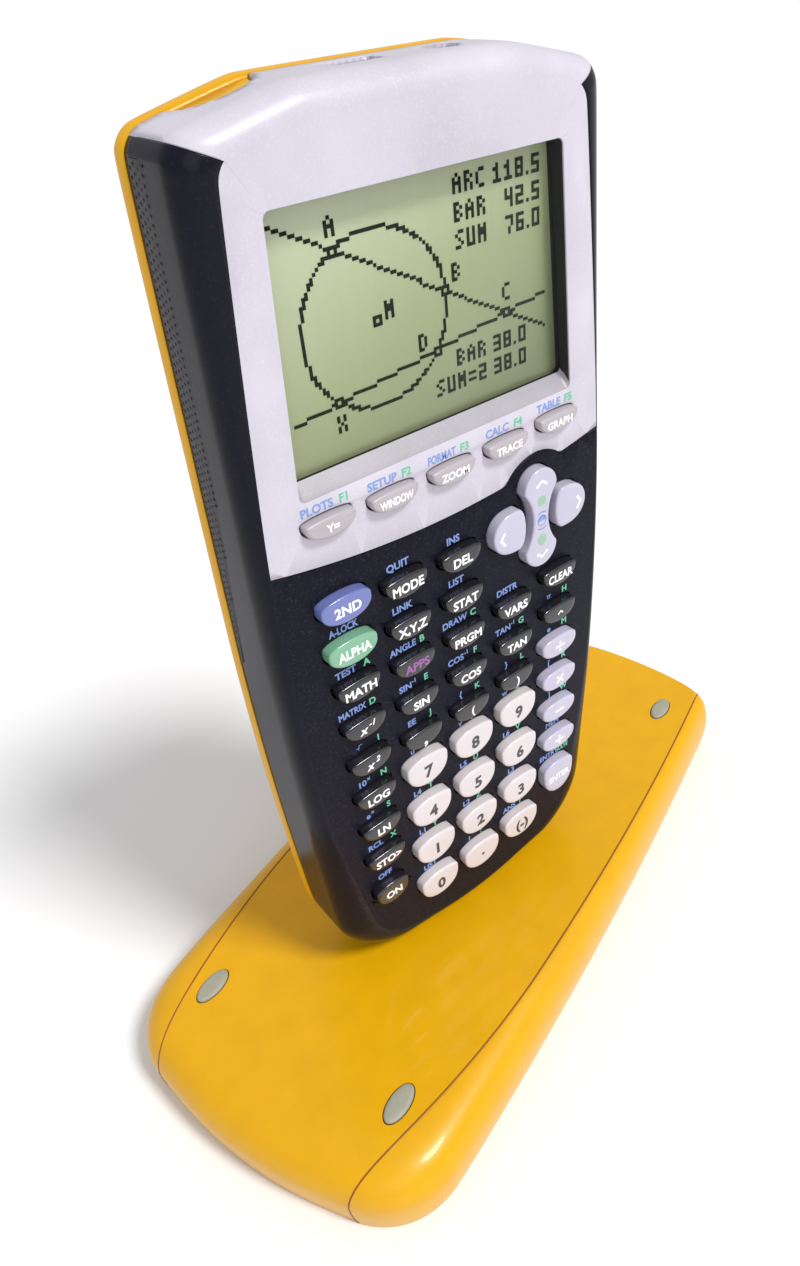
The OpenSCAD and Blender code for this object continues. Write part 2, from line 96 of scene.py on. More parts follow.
PAD_KEY_X = 8.8
KEY_GAP = 0.28
LEGEND_LIFT = 1.6
PRINT_LIFT = 0.03
LIP_X = -26.4
LIP_Y = KEY_BASE_Y - 59.5
LIP_R = 6.0
LIP_W = 0.75
LIP_H = 0.32

# ---------- outlines: the same rules as the CAD source, with more points ----------

FINE = 6
CASE_SIDE_STEPS = 6 + 1 / FINE


def arc(x, y, radius, start, end, steps):
    angles = np.radians(np.linspace(start, end, round(steps * FINE) + 1))
    return np.stack([x + radius * np.cos(angles), y + radius * np.sin(angles)], 1)


def closed(half):
    """A full outline from its right half, with the repeated middle points dropped."""
    mirror = half[::-1] * [-1, 1]
    points = np.concatenate([half, mirror])
    gap = np.linalg.norm(points - np.roll(points, 1, 0), axis=1)
    return points[gap > 1e-6]


def even(points, count):
    """The closed outline again, as evenly spaced points."""
    ring = np.concatenate([points, points[:1]])
    run = np.concatenate([[0], np.cumsum(np.linalg.norm(np.diff(ring, axis=0), axis=1))])
    at = np.linspace(0, run[-1], count, endpoint=False)
    return np.stack([np.interp(at, run, ring[:, k]) for k in range(ring.shape[1])], 1)


def softened(points, passes):
    """Rounds the small kinks where two arcs meet."""
    for _ in range(passes):
        points = (np.roll(points, 1, 0) + 2 * points + np.roll(points, -1, 0)) / 4
    return points


def side_outline(d):
    """The calculator's widest outline, moved inwards by d."""
    half = [
        arc(0, 74, 74 - d, -90, -76, 3),
        arc(BODY_W / 2 - 24, 23, 22 - d, -74, -8, 7),
        arc(BODY_W / 2 - 900, 88, 900 - d, -2.6, 1.2, 5),
        arc(BODY_W / 2 - 7.4, BODY_L - 8.8, 5.4 - d, 3, 80, 5),
        arc(18, BODY_L - 30, 30 - d, 82, 90, 2),
    ]
    return closed(np.concatenate(half))


def face_outline(d):
    """The outline of the calculator's face, inside its rounded edge, moved inwards by d."""
    half = [
        arc(0, 68, 64.5 - d, -90, -76, 3),
        arc(BODY_W / 2 - 26.5, 22.5, 17 - d, -74, -16, 7),
        arc(BODY_W / 2 - 602.4, 100, 600 - d, -5, 3, 5),
        arc(BODY_W / 2 - 12.5, BODY_L - 11.2, 5 - d, 6, 80, 5),
        arc(16, BODY_L - 34, 30 - d, 82, 90, 2),
    ]
    return closed(np.concatenate(half))


def case_outline(d, side_steps=7.0):
    """The slide case's widest outline, moved inwards by d."""
    half = [
        arc(0, -CASE_L / 2 + 110, 110 - d, -90, -77, 3),
        arc(CASE_W / 2 - 21, -CASE_L / 2 + 23, 20 - d, -74, -8, 7),
        arc(CASE_W / 2 - 1400, -25, 1400 - d, -2.1, 4.4, side_steps),
        arc(CASE_W / 2 - 11, CASE_L / 2 - 12.4, 7 - d, 6, 72, 5),
        arc(0, CASE_L / 2 - 125, 125 - d, 74, 90, 3),
    ]
    return closed(np.concatenate(half))


# The plane's two side arcs: how far their middle lies in from the case's side, its v, and their radius.
PLANE_ARCS = [(255.7, -17.7, 250.0), (905.3, 5.0, 900.0)]


def plane_outline(d):
    """The flat outer plane of the slide case."""
    (near_in, near_v, near_r), (far_in, far_v, far_r) = PLANE_ARCS
    half = [
        arc(0, -CASE_L / 2 + 123, 110 - d, -90, -77, 3),
        arc(CASE_W / 2 - 19.3, -CASE_L / 2 + 22.5, 6 - d, -74, -15, 7),
        arc(CASE_W / 2 - near_in, near_v, near_r - d, -12.5, -4, 3),
        arc(CASE_W / 2 - far_in, far_v, far_r - d, -1, 5.1, 3),
        arc(CASE_W / 2 - 14.3, CASE_L / 2 - 11.8, 5 - d, 6, 72, 5),
        arc(0, CASE_L / 2 - 125, 123 - d, 75, 90, 3),
    ]
    return closed(np.concatenate(half))


def moon(style, grow=0.0, count=96):
    """A key's outline about its place: a flat arch above its widest line and a bowl below it."""
    width, up, down, shift = style
    angle = np.linspace(0, 2 * math.pi, count, endpoint=False)
    x = (width / 2 + grow) * np.cos(angle)
    sine = np.sin(angle)
    y = np.where(
        sine >= 0,
        (up + grow) * np.abs(sine) ** 0.65,
        -(down + grow) * np.abs(sine) ** 0.8,
    )
    return np.stack([x, y + shift], 1)


def rocker(grow=0.0, count=140):
    """The up/down rocker's outline about the pad's middle: two lobes and a waist."""
    lobe_r, lobe_y, waist_r, waist_w = 4.5, 7.0, 11.2, 4.2
    corner = math.radians(37.4)
    reach = waist_w / 2 + waist_r
    side = arc(reach, 0, waist_r - grow, 180 + math.degrees(corner), 180 - math.degrees(corner), 4)
    top = arc(0, lobe_y, lobe_r + grow, 0, 180, 5)
    left = side[::-1] * [-1, 1]
    bottom = arc(0, -lobe_y, lobe_r + grow, 180, 360, 5)
    return even(np.concatenate([side, top, left, bottom]), count)


# ---------- frames and meshes ----------


def face_points(points):
    """Points of the face frame in the row frame."""
    points = np.asarray(points, float)
    x, y, z = points.T
    return np.stack([x * MM + FACE_ORIGIN.x, -z * MM + FACE_ORIGIN.y, y * MM + FACE_ORIGIN.z], 1)


CASE_FLAT = case_outline(0)
CASE_ROT = np.array(
    [[math.cos(CASE_TURN), math.sin(CASE_TURN)], [-math.sin(CASE_TURN), math.cos(CASE_TURN)]]
)
CASE_TURNED = CASE_FLAT @ CASE_ROT
CASE_MID = (CASE_TURNED.min(0) + CASE_TURNED.max(0)) / 2


def case_points(points):
    """Points of the case frame in the row frame."""
    points = np.asarray(points, float)
    plan = points[:, :2] @ CASE_ROT - CASE_MID
    return np.concatenate([plan, points[:, 2:]], 1) * MM


def make(name, points, faces, body, slot, materials, smooth=True, marks=None):
    """A mesh piece, already in the row frame, that rides on a body."""
    mesh = bpy.data.meshes.new(name)
    mesh.from_pydata([tuple(p) for p in points], [], [tuple(int(i) for i in f) for f in faces])
    for material in materials:
        mesh.materials.append(material)
    if marks is not None:
        mesh.polygons.foreach_set("material_index", np.asarray(marks, np.int32))
    mesh.polygons.foreach_set("use_smooth", [smooth] * len(mesh.polygons))
    mesh.validate()
    mesh.update()
    piece = bpy.data.objects.new(name, mesh)
    bpy.context.scene.collection.objects.link(piece)
    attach(piece, body)
    return piece


def on_housing(name, points, faces, materials, **looks):
    """A piece on the calculator's front housing."""
    return make(name, points, faces, "calculator", "front_housing", materials, **looks)


def add_modifier(piece, kind, **settings):
    """A modifier with its settings."""
    modifier = piece.modifiers.new(kind.lower(), kind)
    for name, value in settings.items():
        setattr(modifier, name, value)
    return modifier


def raised(outline, z):
    """A flat outline as points at height z."""
    outline = np.asarray(outline, float)
    return np.concatenate([outline, np.full((len(outline), 1), float(z))], 1)


def loft(rings, cap_first=False, cap_last=False):
    """Quads between equal-sized rings, with fans over the ends if asked."""
    count = len(rings[0])
    points = [np.asarray(r, float) for r in rings]
    faces = []
    for r in range(len(rings) - 1):
        for i in range(count):
            j = (i + 1) % count
            faces.append((r * count + i, r * count + j, (r + 1) * count + j, (r + 1) * count + i))
    total = len(rings) * count
    for want, ring, flip in ((cap_first, 0, True), (cap_last, len(rings) - 1, False)):
        if want:
            points.append(points[ring].mean(0, keepdims=True))
            for i in range(count):
                j = (i + 1) % count
                a, b = ring * count + i, ring * count + j
                faces.append((b, a, total) if flip else (a, b, total))
            total += 1
    return np.concatenate(points), faces


def inside(points, outline):
    """Which of the points lie inside a closed outline."""
    points = np.asarray(points, float)
    x, y = points[:, 0], points[:, 1]
    hit = np.zeros(len(points), bool)
    a, b = outline, np.roll(outline, -1, 0)
    for (ax, ay), (bx, by) in zip(a, b):
        if ay == by:
            continue
        crosses = (ay > y) != (by > y)
        hit ^= crosses & (x < (bx - ax) * (y - ay) / (by - ay) + ax)
    return hit


def flat_triangles(outlines, extra=()):
    """Triangles of the plane that keep every outline as edges, as (points, triangles, centroids)."""
    points, edges = [], []
    for outline in outlines:
        start, count = len(points), len(outline)
        points += [tuple(p) for p in outline]
        edges += [(start + i, start + (i + 1) % count) for i in range(count)]
    points += [tuple(p) for p in extra]
    result = delaunay_2d_cdt([Vector(p) for p in points], edges, [], 0, 1e-5, False)
    flat = np.array([tuple(p) for p in result[0]])
    triangles = np.array([tuple(f) for f in result[2]], int)
    centroids = flat[triangles].mean(1)
    return flat, triangles, centroids


def merged(parts):
    """Several (points, faces) as one."""
    points, faces, start = [], [], 0
    for part_points, part_faces in parts:
        points.append(np.asarray(part_points, float))
        faces += [tuple(i + start for i in f) for f in part_faces]
        start += len(part_points)
    return np.concatenate(points), faces


def welded(piece, distance=0.002):
    """Joins the points where a piece's parts meet."""
    add_modifier(piece, "WELD", merge_threshold=distance * MM)


# ---------- materials ----------


class Nodes:
    """Small helper that builds one node material."""

    def __init__(self, name, color, rough, **inputs):
        self.material = bpy.data.materials.new(name)
        self.material.use_nodes = True
        self.tree = self.material.node_tree
        self.shader = self.tree.nodes["Principled BSDF"]
        self.shader.inputs["Base Color"].default_value = (*color, 1)
        self.shader.inputs["Roughness"].default_value = rough
        for key, value in inputs.items():
            self.shader.inputs[key.replace("_", " ")].default_value = value
        self.coords = self.add("ShaderNodeTexCoord").outputs["Object"]

    def add(self, kind, **settings):
        node = self.tree.nodes.new(kind)
        for key, value in settings.items():
            setattr(node, key, value)
        return node

    def link(self, source, target):
        self.tree.links.new(source, target)

    def noise(self, scale, detail=2.0):
        node = self.add("ShaderNodeTexNoise")
        self.link(self.coords, node.inputs["Vector"])
        node.inputs["Scale"].default_value = scale
        node.inputs["Detail"].default_value = detail
        return node.outputs["Fac"]

    def cells(self, scale):
        node = self.add("ShaderNodeTexVoronoi")
        self.link(self.coords, node.inputs["Vector"])
        node.inputs["Scale"].default_value = scale
        return node

    def ramp(self, factor, stops):
        node = self.add("ShaderNodeValToRGB")
        self.link(factor, node.inputs["Fac"])
        ends = node.color_ramp.elements
        while len(ends) < len(stops):
            ends.new(0.5)
        for end, (place, color) in zip(ends, stops):
            end.position = place
            end.color = (*color, 1) if len(color) == 3 else color
        return node.outputs["Color"]

    def span(self, factor, low, high):
        """The factor's 0..1 as low..high."""
        node = self.add("ShaderNodeMapRange")
        self.link(factor, node.inputs["Value"])
        node.inputs["To Min"].default_value = low
        node.inputs["To Max"].default_value = high
        return node.outputs["Result"]

    def blend(self, factor, a, b, mode="MIX"):
        node = self.add("ShaderNodeMix", data_type="RGBA", blend_type=mode)
        for socket, value in ((node.inputs[0], factor), (node.inputs[6], a), (node.inputs[7], b)):
            if isinstance(value, (tuple, list)):
                socket.default_value = (*value, 1)
            elif isinstance(value, (int, float)):
                socket.default_value = value
            else:
                self.link(value, socket)
        return node.outputs[2]

    def bump(self, height, distance, strength=1.0):
        node = self.add("ShaderNodeBump")
        self.link(height, node.inputs["Height"])
        node.inputs["Distance"].default_value = distance
        node.inputs["Strength"].default_value = strength
        self.link(node.outputs["Normal"], self.shader.inputs["Normal"])

    def color(self, socket):
        self.link(socket, self.shader.inputs["Base Color"])

    def rough(self, socket):
        self.link(socket, self.shader.inputs["Roughness"])


def shade(color, factor):
    """A lighter or darker version of a color."""
    return tuple(min(1.0, c * factor) for c in color)


def plastic(name, color, rough, mottle=0.06, grain=1.0, coat=0.0, **inputs):
    """Moulded plastic with a faint mottle, a fine grain and uneven gloss."""
    n = Nodes(name, color, rough, Coat_Weight=coat, Coat_Roughness=0.06, **inputs)
    n.color(n.ramp(n.noise(120, 3), [(0.3, shade(color, 1 - mottle)), (0.7, shade(color, 1 + mottle))]))
    n.rough(n.span(n.noise(900, 3), rough * 0.8, rough * 1.25))
    n.bump(n.noise(2600, 2), 0.00001 * grain, 0.35)
    return n.material


def speckled(name, color, fleck, rough, share=0.12, coat=0.0, **inputs):
    """Lacquered plastic with fine mica flecks."""
    n = Nodes(name, color, rough, Coat_Weight=coat, Coat_Roughness=0.08, **inputs)
    flecks = n.cells(3600)
    tint = n.add("ShaderNodeSeparateColor")
    n.link(flecks.outputs["Color"], tint.inputs["Color"])
    base = n.ramp(n.noise(60, 2), [(0.3, shade(color, 0.93)), (0.7, shade(color, 1.07))])
    lit = n.ramp(tint.outputs["Red"], [(1 - share, (0, 0, 0)), (1 - share * 0.4, (1, 1, 1))])
    dim = n.span(lit, 0.0, 0.3)
    n.color(n.blend(dim, base, fleck))
    n.rough(n.span(n.noise(1100, 3), rough * 0.8, rough * 1.2))
    n.bump(n.noise(3000, 2), 0.00001, 0.4)
    return n.material


NAVY = (0.006, 0.006, 0.013)
SILVER = (0.56, 0.53, 0.61)
YELLOW = (0.70, 0.36, 0.001)
navy_satin = speckled(
    "navy_satin", NAVY, (0.04, 0.043, 0.08), 0.4, 0.14, Specular_IOR_Level=0.1
)
navy_gloss = speckled(
    "navy_gloss", (0.007, 0.007, 0.014), (0.02, 0.022, 0.045), 0.2, 0.08, 0.04, Specular_IOR_Level=0.1
)
silver_satin = speckled("silver_satin", SILVER, (0.66, 0.63, 0.70), 0.36, 0.2)
yellow_gloss = plastic("yellow_gloss", YELLOW, 0.33, 0.035, 1.2, 0.12, Specular_IOR_Level=0.28)
black_gloss = plastic("black_gloss", (0.014, 0.013, 0.018), 0.20, 0.1, 0.6, coat=0.5)
black_matte = plastic("black_matte", (0.01, 0.01, 0.012), 0.6)
digit_white = plastic("digit_white", (0.66, 0.61, 0.63), 0.24, 0.015, 0.5, coat=0.3)
lilac = plastic("lilac", (0.50, 0.48, 0.60), 0.24, 0.02, 0.5, coat=0.3)
key_blue = plastic("key_blue", (0.15, 0.18, 0.44), 0.22, 0.04, 0.5, coat=0.3)
key_green = plastic("key_green", (0.19, 0.42, 0.27), 0.22, 0.04, 0.5, coat=0.3)
soft_silver = speckled("soft_silver", (0.42, 0.39, 0.42), (0.45, 0.42, 0.46), 0.3, 0.15)
foot_rubber = plastic("foot_rubber", (0.33, 0.32, 0.25), 0.5, 0.1, 2.0)
grip_grey = plastic("grip_grey", (0.035, 0.032, 0.04), 0.6, 0.12, 2.0)
print_white = plastic("print_white", (0.92, 0.92, 0.93), 0.4, 0.02)
print_blue = plastic("print_blue", (0.20, 0.31, 0.66), 0.4, 0.04)
print_green = plastic("print_green", (0.13, 0.52, 0.33), 0.4, 0.04)
print_purple = plastic("print_purple", (0.30, 0.10, 0.34), 0.4, 0.04)
print_dark = plastic("print_dark", (0.05, 0.05, 0.065), 0.4, 0.04)
lcd_ink = plastic("lcd_ink", (0.012, 0.016, 0.009), 0.8, 0.05, Specular_IOR_Level=0.05)
mat_rubber = plastic("mat_rubber", (0.05, 0.05, 0.055), 0.6, 0.08, 2.0)
steel = plastic("steel", (0.42, 0.42, 0.44), 0.28, 0.05, Metallic=1.0)
sill_silver = speckled("sill_silver", (0.36, 0.34, 0.38), (0.45, 0.43, 0.47), 0.36, 0.15)
pale_green = plastic("pale_green", (0.30, 0.48, 0.34), 0.3, 0.03)
# Near-black strips of painted shade for the grooves that link the digit wells.
digit_groove_shade = plastic("engraved_line", (0.012, 0.012, 0.02), 0.5, 0.05)
# Darker orange: painted shade for the case's seam grooves and for the walls round its feet.
seam_orange = plastic("seam_orange", (0.26, 0.075, 0.002), 0.5, 0.05)


def board_material():
    """Green solder mask with fine track marks."""
    n = Nodes("board_green", (0.02, 0.15, 0.07), 0.35)
    tracks = n.add("ShaderNodeTexBrick")
    n.link(n.coords, tracks.inputs["Vector"])
    tracks.inputs["Scale"].default_value = 260
    tracks.inputs["Color1"].default_value = (0.02, 0.15, 0.07, 1)
    tracks.inputs["Color2"].default_value = (0.03, 0.19, 0.09, 1)
    tracks.inputs["Mortar"].default_value = (0.05, 0.28, 0.13, 1)
    n.color(tracks.outputs["Color"])
    n.bump(tracks.outputs["Fac"], 0.00003, 0.5)
    return n.material


def lcd_material():
    """Olive liquid-crystal glass with a painted light gradient: paler towards its upper left, with its faint
    grid of dots.
    """
    n = Nodes("lcd_olive", (0.36, 0.42, 0.24), 0.3)
    split = n.add("ShaderNodeSeparateXYZ")
    n.link(n.coords, split.inputs["Vector"])
    across = n.add("ShaderNodeMath", operation="MULTIPLY_ADD")
    n.link(split.outputs["X"], across.inputs[0])
    across.inputs[1].default_value = -PAINTED_LIGHT_ACROSS
    window_mid = FACE_ORIGIN.z + (WINDOW_Y + WINDOW_H / 2) * MM
    across.inputs[2].default_value = 0.5 - PAINTED_LIGHT_UP * window_mid + PAINTED_LIGHT_ACROSS * FACE_ORIGIN.x
    both = n.add("ShaderNodeMath", operation="MULTIPLY_ADD")
    n.link(split.outputs["Z"], both.inputs[0])
    both.inputs[1].default_value = PAINTED_LIGHT_UP
    n.link(across.outputs[0], both.inputs[2])
    # Painted light: the ramp runs from shaded olive at the lower right to lit olive at the upper left.
    stops = [(0.12, (0.17, 0.20, 0.10)), (0.5, (0.30, 0.34, 0.18)), (0.9, (0.50, 0.55, 0.37))]
    painted_light = n.ramp(both.outputs[0], stops)
    dots = n.add("ShaderNodeTexBrick", offset=0.0, squash=1.0)
    n.link(n.coords, dots.inputs["Vector"])
    dots.inputs["Scale"].default_value = 1 / (DOT_PITCH * MM)
    dots.inputs["Brick Width"].default_value = 1.0
    dots.inputs["Row Height"].default_value = 1.0
    dots.inputs["Mortar Size"].default_value = 0.06
    n.color(n.blend(0.05, painted_light, dots.outputs["Color"], "MULTIPLY"))
    n.rough(n.span(n.noise(600, 2), 0.25, 0.36))
    return n.material


def clear_material():
    """Clear pane: mostly see-through, with a sheen at grazing angles and a faint haze."""
    n = Nodes("clear_pane", (0.9, 0.95, 0.88), 0.05)
    fresnel = n.add("ShaderNodeFresnel")
    fresnel.inputs["IOR"].default_value = 1.45
    smear = n.add("ShaderNodeTexNoise")
    smear.inputs["Scale"].default_value = 45
    faint = n.add("ShaderNodeMath", operation="MULTIPLY")
    faint.inputs[1].default_value = 0.02
    n.link(fresnel.outputs["Fac"], faint.inputs[0])
    alpha = n.add("ShaderNodeMath", operation="ADD")
    n.link(faint.outputs[0], alpha.inputs[0])
    n.link(n.span(smear.outputs["Fac"], 0.0, 0.006), alpha.inputs[1])
    n.link(alpha.outputs[0], n.shader.inputs["Alpha"])
    return n.material


# ---------- keys: name, place, style, finish, printed legend and its height ----------

STYLES = {
    "soft": (10.2, 0.8, 3.1, 1.2),
    "black": (9.8, 0.9, 3.8, 1.5),
    "shift": (11, 2.1, 3.6, 0.8),
    "digit": (11.2, 2.7, 5.6, 1.8),
    "sign": (10.8, 2.2, 3.5, 1.1),
    "on": (8.8, 2, 4.4, 0.9),
    "enter": (10.2, 3.2, 7.4, 1.1),
    "side": (9.4, 2.7, 6.1, 1.8),
}
ROW_Y = [38, 19.3, 9.5, 0, -ROW_PITCH, -2 * ROW_PITCH, -3 * ROW_PITCH, -4 * ROW_PITCH]
ROW_Y += [-5 * ROW_PITCH, -62.1]


def key_at(col, row):
    """Middle of a key: the rows bow upwards towards both sides."""
    lift = (0.7 if row == 0 else 2.4) * ((col - 2) / 2) ** 2
    return ((col - 2) * COL_PITCH, KEY_BASE_Y + ROW_Y[row] + lift)


def digit_at(col, line):
    """Middle of a digit key, whose rows are further apart than the small keys'."""
    return ((col - 2) * COL_PITCH, KEY_BASE_Y - 30.2 - DIGIT_PITCH * line + 0.6 * (col - 2) ** 2)


# Each row gives, per column: node, legend, and the blue and green legends printed above it.
KEY_ROWS = [
    (0, "soft", [
        ("key_y_equals", "Y=", "PLOTS", "F1"), ("key_window", "WINDOW", "SETUP", "F2"),
        ("key_zoom", "ZOOM", "FORMAT", "F3"), ("key_trace", "TRACE", "CALC", "F4"),
        ("key_graph", "GRAPH", "TABLE", "F5"),
    ]),
    (1, "black", [
        ("key_2nd", "2ND", "", ""), ("key_mode", "MODE", "QUIT", ""), ("key_del", "DEL", "INS", ""),
    ]),
    (2, "black", [
        ("key_alpha", "ALPHA", "A-LOCK", ""), ("key_variable", "X,Y,Z", "LINK", ""),
        ("key_stat", "STAT", "LIST", ""),
    ]),
    (3, "black", [
        ("key_math", "MATH", "TEST", "A"), ("key_apps", "APPS", "ANGLE", "B"),
        ("key_prgm", "PRGM", "DRAW", "C"), ("key_vars", "VARS", "DISTR", ""),
        ("key_clear", "CLEAR", "", ""),
    ]),
    (4, "black", [
        ("key_inverse", "x^-1", "MATRIX", "D"), ("key_sin", "SIN", "SIN^-1", "E"),
        ("key_cos", "COS", "COS^-1", "F"), ("key_tan", "TAN", "TAN^-1", "G"),
        ("key_power", "caret", "pi", "H"),
    ]),
    (5, "black", [
        ("key_square", "x^2", "root", "I"), ("key_comma", ",", "EE", "J"),
        ("key_open_bracket", "(", "{", "K"), ("key_close_bracket", ")", "}", "L"),
        ("key_divide", "divide", "e", "M"),
    ]),
    (6, "black", [("key_log", "LOG", "10^x", "N"), None, None, None, ("key_multiply", "times", "[", "R")]),
    (7, "black", [("key_ln", "LN", "e^x", "S"), None, None, None, ("key_subtract", "minus", "]", "W")]),
    (8, "black", [("key_store", "STO>", "RCL", "X"), None, None, None, ("key_add", "plus", "MEM", "")]),
    (9, "on", [("key_on", "ON", "OFF", ""), None, None, None, ("key_enter", "ENTER", "ENTRY", "SOLVE")]),
]
DIGIT_ROWS = [
    [("key_7", "7", "u", "O"), ("key_8", "8", "v", "P"), ("key_9", "9", "w", "Q")],
    [("key_4", "4", "L4", "T"), ("key_5", "5", "L5", "U"), ("key_6", "6", "L6", "V")],
    [("key_1", "1", "L1", "Y"), ("key_2", "2", "L2", "Z"), ("key_3", "3", "L3", "")],
    [("key_0", "0", "LIST", ""), ("key_point", "point", "i", ":"), ("key_negative", "(-)", "ANS", "?")],
]
SPECIAL = {
    "key_2nd": ("shift", key_blue, print_white),
    "key_alpha": ("shift", key_green, print_white),
    "key_divide": ("sign", lilac, print_white),
    "key_multiply": ("sign", lilac, print_white),
    "key_subtract": ("sign", lilac, print_white),
    "key_add": ("sign", lilac, print_white),
    "key_on": ("on", black_gloss, print_white),
    "key_enter": ("enter", lilac, print_white),
    "key_apps": ("black", black_gloss, print_purple),
}


def key_list():
    """Every key with its place, style, finish and legends."""
    keys = []
    for row, style, cells in KEY_ROWS:
        for col, cell in enumerate(cells):
            if cell is None:
                continue
            name, legend, blue, green = cell
            finish = soft_silver if style == "soft" else black_gloss
            kind, finish, ink = SPECIAL.get(name, (style, finish, print_white))
            keys.append((name, key_at(col, row), kind, finish, ink, legend, blue, green))
    for line, cells in enumerate(DIGIT_ROWS):
        for col, (name, legend, blue, green) in enumerate(cells):
            place = digit_at(col + 1, line)
            keys.append((name, place, "digit", digit_white, print_dark, legend, blue, green))
    return keys


KEYS = key_list()


def key_outline(name, place, kind, grow=0.0):
    """A key's outline on the face; the pad's side keys are turned outwards."""
    ring = moon(STYLES[kind], grow)
    turn = {"key_left": -math.pi / 2, "key_right": math.pi / 2}.get(name, 0.0)
    spin = np.array([[math.cos(turn), math.sin(turn)], [-math.sin(turn), math.cos(turn)]])
    return ring @ spin + np.array(place)


def inset(outline, d):
    """The outline moved inwards by d along its own normals."""
    ahead, behind = np.roll(outline, -1, 0), np.roll(outline, 1, 0)
    along = ahead - behind
    along /= np.linalg.norm(along, axis=1, keepdims=True) + 1e-9
    normal = np.stack([-along[:, 1], along[:, 0]], 1)
    return outline + normal * d


def shrunk(outline, share):
    middle = (outline.min(0) + outline.max(0)) / 2
    return middle + (outline - middle) * share


KEY_ROUND = [(0.0, 0.0), (0.03, 0.16), (0.12, 0.3), (0.27, 0.41), (0.5, 0.48)]


def cap_rings(outline, top, deep, crown=0.05):
    """Rings of a key cap: straight wall, rounded shoulder and a shallow crown."""
    shoulder = top - crown - 0.48
    rings = [raised(outline, deep), raised(outline, 0), raised(outline, shoulder - 0.05)]
    rings += [raised(inset(outline, d), shoulder + h) for d, h in KEY_ROUND]
    edge = inset(outline, KEY_ROUND[-1][0])
    for share in (0.86, 0.66, 0.42, 0.2):
        rings.append(raised(shrunk(edge, share), shoulder + 0.48 + crown * (1 - share**2)))
    return rings


def build_cap(name, outline, finish, slot, top=None):
    """A key cap that stands for its CAD node and rides on the key's own body."""
    top = KEY_OUT if top is None else top
    points, faces = loft(cap_rings(outline, top, -3.2), cap_first=True, cap_last=True)
    piece = make(name.replace("key_", "cap_"), face_points(points), faces, name, slot, [finish])
    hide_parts(name)
    return piece


SLOTS = {row["node"]: row["material_slot"] for row in frame["record"]["subparts"]}

# ---------- printed marks ----------


def stroke(path, width):
    """A flat ribbon along a path, as (points, faces) in two dimensions."""
    path = np.asarray(path, float)
    along = np.gradient(path, axis=0)
    along /= np.linalg.norm(along, axis=1, keepdims=True) + 1e-9
    normal = np.stack([-along[:, 1], along[:, 0]], 1) * width / 2
    count = len(path)
    points = np.concatenate([path - normal, path + normal])
    return points, [(i, i + 1, count + i + 1, count + i) for i in range(count - 1)]


def disc(x, y, radius):
    ring = arc(x, y, radius, 0, 345, 4)
    return ring, [tuple(range(len(ring)))]


def sign_mark(kind, size):
    """Operator marks drawn as strokes."""
    half, width = size * 0.42, size * 0.17
    flat = stroke([(-half, 0), (half, 0)], width)
    if kind == "minus":
        return flat
    if kind == "plus":
        below = stroke([(0, -half), (0, -width / 2)], width)
        return merged_flat([flat, below, stroke([(0, width / 2), (0, half)], width)])
    if kind == "times":
        k, gap = half * 0.72, width * 0.36
        upper = stroke([(-k, k), (-gap, gap)], width)
        return merged_flat([stroke([(-k, -k), (k, k)], width), upper, stroke([(gap, -gap), (k, -k)], width)])
    if kind == "divide":
        return merged_flat([flat, disc(0, half * 0.75, width * 0.62), disc(0, -half * 0.75, width * 0.62)])
    if kind == "point":
        return disc(0, 0, size * 0.14)
    if kind == "caret":
        bends = [(-0.9, -0.35), (0, 0.45), (0.9, -0.35)]
        return stroke(np.array(bends) * half, width * 1.2)
    if kind == "root":
        bends = [(-1, 0), (-0.6, 0.15), (-0.25, -0.9), (0.2, 1), (1.3, 1)]
        return stroke(np.array(bends) * half, width * 0.7)
    if kind == "pi":
        lines = [[(-1, 0.6), (1, 0.6)], [(-0.4, 0.6), (-0.5, -0.8)], [(0.4, 0.6), (0.45, -0.8)]]
        return merged_flat([stroke(np.array(line) * half, width * 0.8) for line in lines])
    return None


def merged_flat(parts):
    points, faces, start = [], [], 0
    for part_points, part_faces in parts:
        points.append(np.asarray(part_points, float)[:, :2])
        faces += [tuple(i + start for i in f) for f in part_faces]
        start += len(part_points)
    return np.concatenate(points), faces


TYPE_CACHE = {}


def typed(text, size, bold=0.02, slant=0.0, space=1.0):
    """Text as flat (points, faces), centred, with `size` as the height of its capitals."""
    key = (text, size, bold, slant, space)
    if key in TYPE_CACHE:
        return TYPE_CACHE[key]
    curve = bpy.data.curves.new("typed", "FONT")
    curve.body = text
    curve.size = size / 0.72
    curve.offset = bold * size
    curve.shear = slant
    curve.space_character = space
    curve.resolution_u = 3
    holder = bpy.data.objects.new("typed", curve)
    bpy.context.scene.collection.objects.link(holder)
    bpy.context.view_layer.update()
    mesh = bpy.data.meshes.new_from_object(holder.evaluated_get(bpy.context.evaluated_depsgraph_get()))
    points = np.array([v.co[:2] for v in mesh.vertices], float).reshape(-1, 2)
    faces = [tuple(p.vertices) for p in mesh.polygons]
    bpy.data.objects.remove(holder)
    bpy.data.curves.remove(curve)
    bpy.data.meshes.remove(mesh)
    points[:, 0] -= (points[:, 0].min() + points[:, 0].max()) / 2
    points[:, 1] -= size / 2
    TYPE_CACHE[key] = (points, faces)
    return TYPE_CACHE[key]


